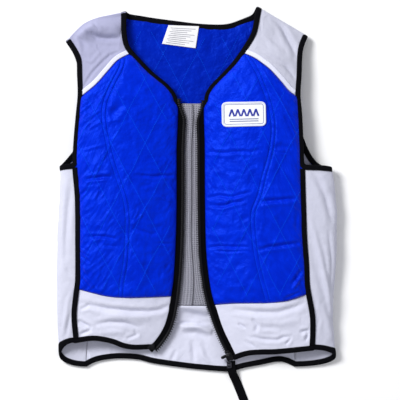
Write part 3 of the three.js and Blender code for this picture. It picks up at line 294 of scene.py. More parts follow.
BAND_FOLDS = {
    "right": [
        (3.4, 4.2, (-0.838, 0.797), (-0.739, 0.805), (-0.626, 0.813), (-0.473, 0.819),
         (-0.338, 0.82), (-0.263, 0.816), (-0.184, 0.802)),
        (2.4, 3.6, (-0.73, 0.855), (-0.626, 0.848), (-0.517, 0.85), (-0.399, 0.865)),
        (2, 3, (-0.834, 0.814), (-0.766, 0.804)),
        (3.2, 3.4, (-0.852, 0.844), (-0.802, 0.855), (-0.751, 0.865)),
        (2.6, 3, (-0.751, 0.868), (-0.838, 0.883)),
        (1.6, 2.6, (-0.447, 0.867), (-0.428, 0.882), (-0.504, 0.894)),
        (-2, 6, (-0.694, 0.833), (-0.55, 0.833), (-0.335, 0.841)),
        (-1.6, 5, (-0.694, 0.876), (-0.514, 0.874)),
    ],
    "left": [
        (3.2, 4.6, (0.254, 0.814), (0.341, 0.818), (0.434, 0.822), (0.581, 0.822),
         (0.697, 0.81), (0.779, 0.795)),
        (2.2, 3, (0.398, 0.839), (0.434, 0.856), (0.42, 0.876)),
        (2.2, 3, (0.297, 0.852), (0.351, 0.865)),
        (2.2, 3, (0.384, 0.887), (0.48, 0.895), (0.581, 0.897), (0.621, 0.889), (0.685, 0.888)),
        (1.8, 2.2, (0.635, 0.909), (0.678, 0.892)),
        (2.8, 3.2, (0.736, 0.876), (0.807, 0.871)),
        (2.4, 2.6, (0.8, 0.876), (0.779, 0.9)),
        (1.8, 3, (0.348, 0.898), (0.437, 0.922)),
        (-1.8, 6, (0.42, 0.847), (0.599, 0.852), (0.743, 0.841)),
        (-1.4, 4, (0.441, 0.871), (0.599, 0.874)),
    ],
    "back": [
        (3.4, 7, (-0.148, 0.814), (-0.047, 0.828), (0.096, 0.839)),
        (2.6, 2.6, (-0.162, 0.847), (-0.069, 0.853), (0.017, 0.854), (0.103, 0.847)),
        (-6.5, 5.4, (-0.119, 0.864), (-0.004, 0.861), (0.111, 0.876)),
        (1.6, 3.2, (-0.148, 0.925), (-0.191, 0.96)),
        (-1.8, 4, (0.017, 0.903), (0.046, 0.942), (0.096, 0.962)),
        (2, 4, (-0.033, 0.898), (-0.019, 0.957)),
        (1.5, 2.2, (-0.886, 0.927), (-0.852, 0.952)),
        (1.2, 2, (-0.787, 0.93), (-0.769, 0.957)),
        (1, 1.6, (-0.608, 0.911), (-0.612, 0.941)),
        (3, 3.2, (0.882, 0.925), (0.897, 0.987)),
        (-2, 3.6, (0.93, 0.933), (0.937, 0.978)),
        (1.4, 3, (-0.335, 0.93), (-0.277, 0.952)),
    ],
}

# Shares of the way down a quilted front, then of the way down the quilted back's edge.
ZIP_TOP = 0.19
UNDERARM = 0.335
YOKE_SHARE = 0.24
ARM_SHARE = 0.41

# How round the shoulder and side folds are, and how high the shoulders stand.
YOKE_ROUNDNESS = 3
SIDE_ROUNDNESS = 2.4
SHOULDER_FOLD = {"right": 0.42, "left": 0.22}
ARMHOLE_STEEPNESS = {"right": 1.1, "left": 2.8}


def read_table(rows, column, at, key=0):
    """Smooth reading of one column of a table at values of its key column."""
    rows = np.asarray(rows, float)
    keys, values = rows[:, key], rows[:, column]
    slopes = np.empty(len(keys))
    slopes[1:-1] = (values[2:] - values[:-2]) / (keys[2:] - keys[:-2])
    slopes[0] = (values[1] - values[0]) / (keys[1] - keys[0])
    slopes[-1] = (values[-1] - values[-2]) / (keys[-1] - keys[-2])
    at = np.clip(at, keys[0], keys[-1])
    i = np.clip(np.searchsorted(keys, at), 1, len(keys) - 1)
    span = keys[i] - keys[i - 1]
    u = (at - keys[i - 1]) / span
    rise = values[i] - values[i - 1]
    start, end = slopes[i - 1] * span, slopes[i] * span
    return values[i - 1] + u * (start + u * (3 * rise - 2 * start - end + u * (start + end - 2 * rise)))


def place(across, down):
    """Point on the surface in millimetres, before the shift to the frame's origin."""
    across, down = np.broadcast_arrays(np.asarray(across, float), np.asarray(down, float))
    return np.stack([across * HALF_WIDTH, (0.5 - down) * BODY_LENGTH], -1)


def down_of(point):
    return 0.5 - point[..., 1] / BODY_LENGTH


def lerp(a, b, share):
    return a + (b - a) * share


def smooth(low, high, value):
    share = np.clip((value - low) / (high - low), 0, 1)
    return share * share * (3 - 2 * share)


def unit(vectors):
    return vectors / np.linalg.norm(vectors, axis=-1, keepdims=True)


def reach_along(points):
    """Distance along a line of points from its first point to each of them."""
    return np.concatenate([[0], np.cumsum(np.linalg.norm(np.diff(points, axis=0), axis=1))])


def rim_of(grid):
    """The outermost entries of a grid, once round."""
    return np.concatenate([grid[0, :-1], grid[:-1, -1], grid[-1, :0:-1], grid[:0:-1, 0]])


def halved(quads):
    """Two triangles for each four-sided face."""
    return np.vstack([quads[:, [0, 1, 2]], quads[:, [0, 2, 3]]])


def edge_span(rows, start, end):
    """Part of an edge that runs down, as a function of 0 to 1."""
    def at(share):
        down = lerp(start, end, np.asarray(share, float))
        return place(read_table(rows, 1, down), down)
    return at


def line_span(rows, start, end):
    """Smooth line across through a table's points, with its ends moved onto two edges."""
    points = np.array([place(*row) for row in rows])
    points[0], points[-1] = start, end
    padded = np.vstack([2 * points[0] - points[1], points, 2 * points[-1] - points[-2]])
    padded[0], padded[-1] = points[0], points[-1]
    u = np.linspace(0, 1, 60)[:, None]
    pieces = []
    for a, b, c, d in zip(padded, padded[1:], padded[2:], padded[3:]):
        before, after = (c - a) / 2, (d - b) / 2
        cube = 2 * b - 2 * c + before + after
        square = -3 * b + 3 * c - 2 * before - after
        pieces.append(((cube * u + square) * u + before) * u + b)
    curve = np.vstack(pieces)
    reach = reach_along(curve)
    reach /= reach[-1]

    def at(share):
        share = np.asarray(share, float)
        return np.stack([np.interp(share, reach, curve[:, k]) for k in (0, 1)], -1)
    return at


def patch_point(patch, side, along):
    """Points of a four-sided patch blended from its edges; side and along are grids."""
    side_, along_ = side[..., None], along[..., None]
    near, far = patch["near"](along), patch["far"](along)
    top, bottom = patch["top"](side), patch["bottom"](side)
    corners_top = lerp(patch["near"](0.0), patch["far"](0.0), side_)
    corners_bottom = lerp(patch["near"](1.0), patch["far"](1.0), side_)
    ruled = lerp(near, far, side_) + lerp(top, bottom, along_)
    return ruled - lerp(corners_top, corners_bottom, along_)


def patch_between(inner, outer, top, bottom):
    near = edge_span(inner, top[0][1], bottom[0][1])
    far = edge_span(outer, top[-1][1], bottom[-1][1])
    return {
        "near": near,
        "far": far,
        "top": line_span(top, near(0), far(0)),
        "bottom": line_span(bottom, near(1), far(1)),
    }


def front_height(side_name, points):
    """Height of the middle of a front's cloth above the surface."""
    edges = EDGES[side_name]
    down = down_of(points)
    inner = read_table(edges["inner"], 1, down) * HALF_WIDTH
    outer = read_table(edges["outer"], 1, down) * HALF_WIDTH
    side = np.clip((points[..., 0] - inner) / (outer - inner), 0, 1)
    height = lerp(read_table(edges["inner"], 2, down), read_table(edges["outer"], 2, down), side)
    return (height + read_table(CROWN, 1, down) * 4 * side * (1 - side)) * LYING_HEIGHT


def round_off(share, roundness):
    return np.maximum(0, 1 - share ** roundness) ** (1 / roundness)


def with_height(points, height):
    return np.concatenate([points, np.broadcast_to(height, points.shape[:-1])[..., None]], -1)


def lattice(x, y, seed):
    """Repeatable random value from 0 to 1 at whole-number points."""
    mixed = (x.astype(np.int64) * 374761393 + y.astype(np.int64) * 668265263 + seed * 144269504) & 0xFFFFFFFF
    mixed = ((mixed ^ (mixed >> 13)) * 1274126177) & 0xFFFFFFFF
    return ((mixed ^ (mixed >> 16)) & 0xFFFF) / 65535.0


def noise(x, y, scale, seed):
    """Smooth noise from -1 to 1 whose features are about scale millimetres wide."""
    x, y = x / scale, y / scale
    fx, fy = np.floor(x), np.floor(y)
    u, v = x - fx, y - fy
    u, v = u * u * (3 - 2 * u), v * v * (3 - 2 * v)
    low = lerp(lattice(fx, fy, seed), lattice(fx + 1, fy, seed), u)
    high = lerp(lattice(fx, fy + 1, seed), lattice(fx + 1, fy + 1, seed), u)
    return 2 * lerp(low, high, v) - 1


def creased(x, y, scale, seed):
    """Noise with sharp crests, from 0 to 1, as crumpled cloth has."""
    bend = 0.4 * scale * noise(x, y, 1.7 * scale, seed + 3)
    return 1 - np.abs(noise(x + bend, y - bend, scale, seed))


def dragged(x, y, seed):
    """Fine creases that run up and to the right, as where a seam pulls on cloth."""
    return creased(0.16 * (x + y), 0.7 * (y - x), 8, seed + 6) - 0.6


def normals_of(grid):
    """Unit normals of a grid, on the side that faces up near its first corner."""
    along = np.gradient(grid, axis=0)
    beside = np.gradient(grid, axis=1)
    normal = np.cross(beside, along)
    if normal[len(grid) // 8, grid.shape[1] // 8, 2] < 0:
        normal = -normal
    return normal / np.maximum(1e-9, np.linalg.norm(normal, axis=-1, keepdims=True))


def arc_lengths(grid):
    """Distances across and along the cloth at each point of a grid, for its weave."""
    across = np.linalg.norm(np.diff(grid, axis=1), axis=-1)
    down = np.linalg.norm(np.diff(grid, axis=0), axis=-1)
    u = np.hstack([np.zeros((len(grid), 1)), np.cumsum(across, axis=1)])
    v = np.vstack([np.zeros((1, grid.shape[1])), np.cumsum(down, axis=0)])
    return np.stack([u - u[:, -1:] / 2, v], -1)


# Moves places in the tables to the frame's origin, found from where the patch lies.
patch_low, patch_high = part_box("chest_patch")
PATCH_PLACE = (0.337, 0.291)
patch_spot = place(*PATCH_PLACE)
SHIFT = np.array([
    (patch_low.x + patch_high.x) * 500 - patch_spot[0],
    (patch_low.y + patch_high.y) * 500 - patch_spot[1],
    0.0,
])

# Pieces that others are laid on, by name.
SURFACES = {}


def make_piece(name, points, faces, material, slot, nodes, uv=None, surface=False):
    """Mesh object from points in millimetres, riding on the root body."""
    points, faces = np.asarray(points, float), np.asarray(faces)
    if surface:
        SURFACES[name] = BVHTree.FromPolygons(points.tolist(), faces.tolist())
    corners = points[faces]
    volume = np.einsum("ij,ij->i", corners[:, 0], np.cross(corners[:, 1], corners[:, 2])).sum()
    if faces.shape[1] == 4:
        volume += np.einsum("ij,ij->i", corners[:, 0], np.cross(corners[:, 2], corners[:, 3])).sum()
    if volume < 0:
        faces = faces[:, ::-1]
    mesh = bpy.data.meshes.new(name)
    mesh.from_pydata(((points + SHIFT) * 0.001).tolist(), [], faces.tolist())
    if uv is not None:
        layer = mesh.uv_layers.new(name="UVMap")
        layer.data.foreach_set("uv", (np.asarray(uv)[faces.reshape(-1)] * 0.001).reshape(-1))
    mesh.shade_smooth()
    mesh.materials.append(material)
    piece = bpy.data.objects.new(name, mesh)
    bpy.context.scene.collection.objects.link(piece)
    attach(piece, "root")
    if nodes:
        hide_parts(*nodes)
    return piece


def grid_faces(rows, columns):
    a = (np.arange(rows - 1)[:, None] * columns + np.arange(columns - 1)).reshape(-1)
    return np.stack([a, a + columns, a + columns + 1, a + 1], -1)


def closed_sheet(upper, lower):
    """Points and faces of the body between an upper and a lower grid."""
    rows, columns = upper.shape[:2]
    count = rows * columns
    top = grid_faces(rows, columns)
    rim = rim_of(np.arange(count).reshape(rows, columns))
    following = np.roll(rim, -1)
    sides = np.stack([rim, following, following + count, rim + count], -1)
    faces = np.vstack([top, top[:, ::-1] + count, sides])
    return np.vstack([upper.reshape(-1, 3), lower.reshape(-1, 3)]), faces


def cloth_piece(name, middle, above, below, material, slot, nodes):
    """Cloth with its faces at given distances above and below a middle grid, which other
    pieces can be laid on."""
    normal = normals_of(middle)
    above = np.broadcast_to(above, middle.shape[:2])[..., None]
    below = np.broadcast_to(below, middle.shape[:2])[..., None]
    points, faces = closed_sheet(middle + normal * above, middle - normal * below)
    uv = arc_lengths(middle).reshape(-1, 2)
    return make_piece(name, points, faces, material, slot, nodes, np.vstack([uv, uv]), surface=True)


def laid_on(surface, across_along, above=0.0):
    """Points on top of a piece of cloth at places in millimetres, and the normals there."""
    points, normals = [], []
    for x, y in across_along:
        spot, normal, _, _ = SURFACES[surface].ray_cast((x, y, 80), (0, 0, -1))
        if spot is None:
            spot, normal, _, _ = SURFACES[surface].find_nearest((x, y, 20))
        normal = normal if normal.z > 0 else -normal
        points.append(spot + normal * above)
        normals.append(normal)
    return np.array(points), np.array(normals)


def cloth_coordinates(nodes):
    """Distances across and along the cloth, in metres."""
    return nodes.new("ShaderNodeTexCoord").outputs["UV"]


def noise_texture(nodes, links, vector, scale, detail=3.0, roughness=0.55):
    texture = nodes.new("ShaderNodeTexNoise")
    texture.inputs["Scale"].default_value = scale
    texture.inputs["Detail"].default_value = detail
    texture.inputs["Roughness"].default_value = roughness
    if vector is not None:
        links.new(vector, texture.inputs["Vector"])
    return texture.outputs["Fac"]


def wave_texture(nodes, links, vector, scale, direction, distortion=0.0):
    texture = nodes.new("ShaderNodeTexWave")
    texture.bands_direction = direction
    texture.inputs["Scale"].default_value = scale
    texture.inputs["Distortion"].default_value = distortion
    links.new(vector, texture.inputs["Vector"])
    return texture.outputs["Fac"]


def mixed_colour(nodes, links, factor, low, high):
    ramp = nodes.new("ShaderNodeMix")
    ramp.data_type = "RGBA"
    links.new(factor, ramp.inputs["Factor"])
    ramp.inputs["A"].default_value = (*low, 1)
    ramp.inputs["B"].default_value = (*high, 1)
    return ramp.outputs["Result"]


def maths(nodes, links, operation, a, b):
    node = nodes.new("ShaderNodeMath")
    node.operation = operation
    for socket, value in zip(node.inputs, (a, b)):
        if isinstance(value, (int, float)):
            socket.default_value = value
        else:
            links.new(value, socket)
    return node.outputs["Value"]


def bumped(nodes, links, height, distance, strength=1.0, before=None):
    node = nodes.new("ShaderNodeBump")
    node.inputs["Strength"].default_value = strength
    node.inputs["Distance"].default_value = distance
    links.new(height, node.inputs["Height"])
    if before is not None:
        links.new(before, node.inputs["Normal"])
    return node.outputs["Normal"]


def new_material(name, roughness, sheen=0.0, specular=0.5, metallic=0.0, tint=(1, 1, 1)):
    material = bpy.data.materials.new(name)
    material.use_nodes = True
    tree = material.node_tree
    shader = tree.nodes["Principled BSDF"]
    shader.inputs["Roughness"].default_value = roughness
    shader.inputs["Sheen Weight"].default_value = sheen
    shader.inputs["Specular IOR Level"].default_value = specular
    shader.inputs["Metallic"].default_value = metallic
    shader.inputs["Specular Tint"].default_value = (*tint, 1)
    shader.inputs["Sheen Tint"].default_value = (*tint, 1)
    return material, tree.nodes, tree.links, shader


def coloured(parts, texture, low, high, depth, strength):
    """Material whose colour and fine relief both follow one texture."""
    material, nodes, links, shader = parts
    links.new(mixed_colour(nodes, links, texture, low, high), shader.inputs["Base Color"])
    links.new(bumped(nodes, links, texture, depth, strength), shader.inputs["Normal"])
    return material


def quilt_material(name, depth):
    material, nodes, links, shader = new_material(name, 0.34, 0.05, 0.55, tint=(0.02, 0.14, 1))
    cloth = cloth_coordinates(nodes)
    blotch = noise_texture(nodes, links, cloth, 38, 5, 0.6)
    # Depth scales the colour; the back's copy below one is painted shade.
    low, high = (0.0, 0.007 * depth, 0.4 * depth), (0.001, 0.03 * depth, 0.78 * depth)
    colour = mixed_colour(nodes, links, blotch, low, high)
    links.new(colour, shader.inputs["Base Color"])
    weave = maths(nodes, links, "MULTIPLY", wave_texture(nodes, links, cloth, 480, "X"),
                  wave_texture(nodes, links, cloth, 480, "Y"))
    crinkle = noise_texture(nodes, links, cloth, 75, 5, 0.5)
    crinkled = bumped(nodes, links, crinkle, 0.004, 0.7)
    links.new(bumped(nodes, links, weave, 0.00012, 0.5, crinkled), shader.inputs["Normal"])
    return material


def knit_material(name, depth, blue=1.0):
    material, nodes, links, shader = new_material(name, 0.8, 0.1 * depth, 0.15, tint=(0.85, 0.87, 1))
    cloth = cloth_coordinates(nodes)
    blotch = noise_texture(nodes, links, cloth, 30, 3)
    # Depth scales the colour: depths other than one are painted shade or light, and blue above one is
    # painted shade.
    low = (0.65 * depth, 0.66 * depth, 0.79 * depth * blue)
    high = (0.72 * depth, 0.73 * depth, 0.86 * depth * blue)
    colour = mixed_colour(nodes, links, blotch, low, high)
    links.new(colour, shader.inputs["Base Color"])
    ribs = wave_texture(nodes, links, cloth, 340, "X", 0.4)
    loops = wave_texture(nodes, links, cloth, 420, "Y", 0.6)
    knit = maths(nodes, links, "ADD", ribs, maths(nodes, links, "MULTIPLY", loops, 0.5))
    crinkled = bumped(nodes, links, noise_texture(nodes, links, cloth, 45, 5), 0.003, 0.6)
    links.new(bumped(nodes, links, knit, 0.0002, 0.6, crinkled), shader.inputs["Normal"])
    return material


def tape_material(name, direction, scale, low=(0.001, 0.001, 0.002), high=(0.004, 0.004, 0.006)):
    parts = new_material(name, 0.75, 0.0, 0.05)
    _, nodes, links, _ = parts
    ribs = wave_texture(nodes, links, cloth_coordinates(nodes), scale, direction, 0.5)
    return coloured(parts, ribs, low, high, 0.0003, 0.8)


def mesh_material():
    parts = new_material("grey_mesh", 0.75, 0.2, 0.25)
    _, nodes, links, _ = parts
    blotch = noise_texture(nodes, links, cloth_coordinates(nodes), 400, 3)
    return coloured(parts, blotch, (0.17, 0.17, 0.21), (0.42, 0.42, 0.49), 0.0004, 0.6)


def plastic_material():
    parts = new_material("zip_plastic", 0.35, 0.0, 0.14)
    _, nodes, links, _ = parts
    grain = noise_texture(nodes, links, None, 900, 2)
    return coloured(parts, grain, (0.002, 0.002, 0.003), (0.006, 0.006, 0.008), 0.00005, 0.5)


def metal_material():
    parts = new_material("dark_metal", 0.34, 0.0, 0.5, 0.85)
    _, nodes, links, _ = parts
    grain = noise_texture(nodes, links, None, 700, 4)
    return coloured(parts, grain, (0.03, 0.03, 0.036), (0.1, 0.1, 0.13), 0.00008, 0.5)


def satin_material(name, low, high, specular=0.4, tint=(1, 1, 1)):
    parts = new_material(name, 0.5, 0.1 * specular, specular, tint=tint)
    _, nodes, links, _ = parts
    threads = wave_texture(nodes, links, cloth_coordinates(nodes), 500, "Y", 0.8)
    return coloured(parts, threads, low, high, 0.00012, 0.6)


BLUE = quilt_material("blue_quilt", 1.0)
# Copy of the blue quilt at two thirds of its colour for the back: painted shade.
BACK_BLUE_PAINTED_SHADE = quilt_material("blue_quilt_inside_painted_shade", 0.66)
WHITE = knit_material("white_stretch", 1.0)
# White knit at 0.88 of its colour for the side panels: painted shade.
WHITE_SIDE_PAINTED_SHADE = knit_material("white_stretch_side_painted_shade", 0.88)
# The yokes' white knit is darkened, the right one more and bluer: painted shade.
YOKE_CLOTH_PAINTED_SHADE = {
    "right": knit_material("white_stretch_right_yoke_painted_shade", 0.55, 1.2),
    "left": knit_material("white_stretch_left_yoke_painted_shade", 0.8),
}
# Brighter copy of the white knit for the strip along the yoke's seam: painted light.
WHITE_STRIP_PAINTED_LIGHT = knit_material("white_seam_strip_painted_light", 1.05)
BINDING = tape_material("black_binding", "X", 300)
ZIP_TAPE = tape_material("black_zip_tape", "Y", 420, (0.0005, 0.0005, 0.001), (0.002, 0.002, 0.003))
MESH = mesh_material()
PLASTIC = plastic_material()
METAL = metal_material()
LABEL = satin_material("label_cloth", (0.78, 0.78, 0.8), (0.86, 0.86, 0.88))
PATCH = satin_material("patch_cloth", (0.82, 0.84, 0.9), (0.9, 0.92, 0.96))
PATCH_EDGE = satin_material("patch_edge", (0.7, 0.74, 0.86), (0.82, 0.86, 0.94))
PATCH_BLUE = satin_material("patch_blue", (0.01, 0.02, 0.3), (0.02, 0.05, 0.45))
PATCH_GREY = satin_material("patch_grey", (0.16, 0.19, 0.34), (0.25, 0.28, 0.45))
LABEL_RULE = satin_material("label_rule", (0.3, 0.3, 0.33), (0.5, 0.5, 0.53))
BLUE_THREAD = satin_material("blue_thread", (0.002, 0.09, 0.85), (0.01, 0.16, 1.0), 0.4, (0.02, 0.25, 1))
WHITE_THREAD = satin_material("white_thread", (0.85, 0.86, 0.95), (0.95, 0.95, 0.98))
BLACK_THREAD = satin_material("black_thread", (0.003, 0.003, 0.005), (0.009, 0.009, 0.013), 0.15)


def pillow(distance, reach):
    """Rise of padding from a seam, from 0 to 1 over a distance."""
    share = np.clip(distance / reach, 0, 1)
    return np.sqrt(share * (2 - share))


def distance_to(points, corners):
    """Distance of points to a line through corners, and the share of its length there."""
    lengths = np.linalg.norm(np.diff(corners, axis=0), axis=1)
    starts = np.concatenate([[0], np.cumsum(lengths)]) / lengths.sum()
    nearest = np.full(points.shape[:2], np.inf)
    reach = np.zeros(points.shape[:2])
    for start, end, first, last in zip(corners, corners[1:], starts, starts[1:]):
        line = end - start
        offset = points[..., :2] - start
        share = np.clip((offset @ line) / (line @ line), 0, 1)
        distance = np.linalg.norm(offset - share[..., None] * line, axis=-1)
        closer = distance < nearest
        nearest = np.where(closer, distance, nearest)
        reach = np.where(closer, lerp(first, last, share), reach)
    return nearest, reach


def folds(points, rows):
    """Relief of folds along lines."""
    relief = np.zeros(points.shape[:2])
    for depth, width, *corners in rows:
        distance, share = distance_to(points, np.array([place(*corner) for corner in corners]))
        taper = np.sqrt(np.clip(4 * share * (1 - share), 0, 1))
        valley = np.exp(-(distance / width) ** 2)
        ridge = np.exp(-((distance - 2 * width) / width) ** 2)
        relief += depth * taper * (0.35 * ridge - valley)
    return relief


DIAMOND_ANGLE = math.radians(62.5)
DIAMOND_PITCH = 52


def wander(x, y, seed, sign):
    """How far the quilting's lines stray sideways."""
    return 1.6 * noise(x, y, 40, seed + 7 * sign)


def diamonds(points, centre, seed):
    """Thin crossing ridges pressed into the quilting, with one crossing at centre."""
    x, y = points[..., 0], points[..., 1]
    middle = place(*centre)
    relief = np.zeros(x.shape)
    for sign in (1, -1):
        reach = (x - middle[0]) * math.sin(DIAMOND_ANGLE) + sign * (y - middle[1]) * math.cos(DIAMOND_ANGLE)
        reach = reach + wander(x, y, seed, sign)
        distance = np.abs((reach / DIAMOND_PITCH + 0.5) % 1 - 0.5) * DIAMOND_PITCH
        fade = np.clip(0.55 + 0.8 * noise(x, y, 30, seed + sign), 0, 1)
        relief += fade * np.exp(-(distance / 1.5) ** 2)
    return relief


def princess_distance(side_name, points):
    """Distance outward from the curved double-stitched seam of a front."""
    rows = EDGES[side_name]["princess"]
    down = down_of(points)
    seam = read_table(rows, 1, down) * HALF_WIDTH
    ahead = read_table(rows, 1, down + 0.004) * HALF_WIDTH
    slant = np.cos(np.arctan2(ahead - seam, 0.004 * BODY_LENGTH))
    outward = -1 if side_name == "right" else 1
    return (points[..., 0] - seam) * slant * outward


def princess_relief(side_name, points):
    """Share of padding left near the curved seam, with its raised rib."""
    distance = princess_distance(side_name, points)
    groove = 0.4 * np.exp(-(distance / 1.3) ** 2) + 0.32 * np.exp(-((distance - 7) / 1.2) ** 2)
    strip = 0.18 * smooth(-9, 0, distance) * (1 - smooth(8, 17, distance))
    return np.clip(1 - groove - strip, 0, 1)


PRINCESS_ZONE = 16
NECK_TAPE_END = (0.25, 0.275)
ZIP_COVER = 0.6
DIAMOND_CENTRE = {"right": (-0.371, 0.37), "left": (0.236, 0.688), "back": (0.0, 0.3)}
SEEDS = {"right": 11, "left": 29, "back": 47}


def quilted_top(side_name, points, near, far, top, bottom):
    """Height of the padded face above the middle of the cloth."""
    x, y = points[..., 0], points[..., 1]
    seed = SEEDS[side_name]
    covered = TAPE_COVER - (TAPE_COVER - ZIP_COVER) * smooth(*NECK_TAPE_END, 0.5 - y / BODY_LENGTH)
    puff = pillow(near - covered, PADDING_REACH) * pillow(far - TAPE_COVER, PADDING_REACH)
    puff = puff * pillow(top - 0.5, 15) * pillow(bottom - 0.5, 15) * princess_relief(side_name, points)
    relief = folds(points, FRONT_FOLDS[side_name]) + 0.8 * diamonds(points, DIAMOND_CENTRE[side_name], seed)
    relief += 1.2 * noise(x, y, 38, seed) + 0.5 * noise(x, y, 15, seed + 1)
    relief += 1.5 * creased(0.6 * x, y, 22, seed + 2) + 0.8 * creased(x, 0.7 * y, 11, seed + 4) - 1.2
    relief += 2.4 * dragged(x if side_name == "right" else -x, y, seed) * np.exp(-(far / 48) ** 2)
    relief += 1.3 * dragged(x if side_name == "left" else -x, y, seed + 8) * np.exp(-(near / 26) ** 2)
    return SEAM_HALF + np.maximum(0, puff * (FRONT_PADDING + relief))


def shares_between(low, high, count):
    return lerp(low, high, np.linspace(0, 1, count))


def front_columns(seam, low, high, zone):
    """Shares across a front for each row, closer together beside its curved seam."""
    inner_zone = np.clip(seam - zone, low + 0.06, high - 0.3)
    outer_zone = np.clip(seam + 1.4 * zone, inner_zone + 0.1, high - 0.06)
    first = lerp(low, inner_zone, np.linspace(0, 1, FRONT_EDGE_COLUMNS)[None, :-1])
    middle = lerp(inner_zone, outer_zone, np.linspace(0, 1, FRONT_SEAM_COLUMNS)[None, :-1])
    last = lerp(outer_zone, high, np.linspace(0, 1, FRONT_EDGE_COLUMNS)[None, :])
    return np.hstack([first, middle, last])


def build_quilted_front(side_name):
    edges, lines = EDGES[side_name], LINES[side_name]
    patch = patch_between(edges["inner"], edges["outer"], lines["yoke"], lines["band"])
    length = np.linalg.norm(patch["near"](0) - patch["near"](1))
    along = shares_between(SEAM_TRIM / length, 1 - SEAM_TRIM / length, FRONT_ROWS)[:, None]
    width = np.linalg.norm(patch["near"](along) - patch["far"](along), axis=-1)
    far_trim = np.where(along <= UNDERARM, EDGE_INSET, SEAM_TRIM)
    near_down = lerp(lines["yoke"][0][1], lines["band"][0][1], along)
    far_down = lerp(lines["yoke"][-1][1], lines["band"][-1][1], along)
    near_across = read_table(edges["inner"], 1, near_down)
    far_across = read_table(edges["outer"], 1, far_down)
    seam = 0.4
    for _ in range(4):
        across = read_table(edges["princess"], 1, lerp(near_down, far_down, seam))
        seam = (across - near_across) / (far_across - near_across)
    side = front_columns(seam, EDGE_INSET / width, 1 - far_trim / width, PRINCESS_ZONE / width)
    along = along * np.ones((1, side.shape[1]))
    width = width * np.ones((1, side.shape[1]))
    flat = patch_point(patch, side, along)
    middle = with_height(flat, front_height(side_name, flat))
    near, far = side * width, (1 - side) * width
    above = quilted_top(side_name, flat, near, far, along * length, (1 - along) * length)
    sunk = 2.6 * pillow(near - TAPE_COVER, PADDING_REACH) * pillow(far - TAPE_COVER, PADDING_REACH)
    below = SEAM_HALF + sunk * pillow(along * length, 15) * pillow((1 - along) * length, 15)
    name = f"{side_name}_front_quilted"
    piece = cloth_piece(name, middle, above, below, BLUE, "blue_quilt", [f"{side_name}_front_quilted_panel"])
    rows = along[:, 0]
    return {
        "middle": middle,
        "shares": side,
        "inner": edge_stations(middle[:, 0], middle[:, 7]),
        "outer": edge_stations(middle[:, -1], middle[:, -8]),
        "zip_row": int(np.searchsorted(rows, ZIP_TOP)),
        "arm_row": int(np.searchsorted(rows, UNDERARM)),
    }


def edge_stations(edge, inner, square=True):
    """Tape stations along an edge: its points, and the unit directions into the cloth."""
    along = unit(np.gradient(edge, axis=0))
    into = inner - edge
    straight = into - (into * along).sum(-1, keepdims=True) * along
    inward = (straight if square else into) / np.linalg.norm(straight, axis=-1, keepdims=True)
    return edge, inward


def join_stations(runs, corner=0.6):
    """One run of stations from several, with a mitre where two meet at a corner."""
    points, inwards = [], []
    for edge, inward in runs:
        edge, inward = list(edge), list(inward)
        if points:
            turn = inwards[-1] @ inward[0]
            if turn < corner:
                first, toward = edge.pop(0), inward.pop(0)
                inwards[-1] = (inwards[-1] + toward) / (1 + turn)
                points[-1] = (points[-1] + first) / 2
        points += edge
        inwards += inward
    return np.array(points), np.array(inwards)


def reverse(stations):
    return stations[0][::-1], stations[1][::-1]


def part_of(stations, start, end):
    return stations[0][start:end], stations[1][start:end]


def resample(stations, step, start=0.0, end=0.0):
    """Stations a set distance apart, with lengths taken off the run's ends."""
    points, inwards = stations
    reach = reach_along(points)
    count = max(2, int(round((reach[-1] - start - end) / step)) + 1)
    at = np.linspace(start, reach[-1] - end, count)

    def read(values):
        return np.stack([np.interp(at, reach, values[:, k]) for k in range(3)], -1)
    return read(points), read(inwards)


def sweep(stations, section, closed=False):
    """Points, faces and cloth coordinates of a section swept along stations."""
    points, inwards = stations
    section = np.asarray(section, float)
    if closed:
        along = np.roll(points, -1, axis=0) - np.roll(points, 1, axis=0)
    else:
        along = np.gradient(points, axis=0)
    ups = unit(np.cross(unit(along), inwards))
    if not closed and ups[:, 2].mean() < 0:
        ups = -ups
    grid = points[:, None] + inwards[:, None] * section[None, :, :1] + ups[:, None] * section[None, :, 1:]
    count, sides = grid.shape[:2]
    steps = count if closed else count - 1
    i, k = np.meshgrid(np.arange(steps), np.arange(sides), indexing="ij")
    row, following, beside = i * sides, (i + 1) % count * sides, (k + 1) % sides
    faces = np.stack([row + k, row + beside, following + beside, following + k], -1)
    reach = reach_along(points)
    girth = reach_along(section)
    uv = np.stack(np.meshgrid(reach, girth, indexing="ij"), -1).reshape(-1, 2)
    return grid.reshape(-1, 3), faces.reshape(-1, 4), uv


def cap_faces(count, sides):
    """Strips that close the ends of a sweep whose section runs out and back."""
    half = sides // 2
    faces = []
    for base, turned in ((0, False), ((count - 1) * sides, True)):
        for k in range(half - 1):
            quad = [base + k, base + k + 1, base + sides - 2 - k, base + sides - 1 - k]
            faces.append(quad if turned else quad[::-1])
    return np.array(faces)


def soft_relief(points, rows, seed, amount=0.5):
    """Relief of thin cloth: its folds and a slight unevenness."""
    x, y = points[..., 0], points[..., 1]
    uneven = noise(x, y, 34, seed) + 0.5 * noise(x, y, 13, seed + 1) + 0.2 * noise(x, y, 5, seed + 2)
    return folds(points, rows) + amount * uneven


def thin_cloth(name, middle, relief, nodes, material=WHITE):
    """Thin white cloth that rises and falls by a relief."""
    moved = middle + normals_of(middle) * relief[..., None]
    piece = cloth_piece(name, moved, CLOTH / 2, CLOTH / 2, material, "white_stretch", nodes)
    return piece


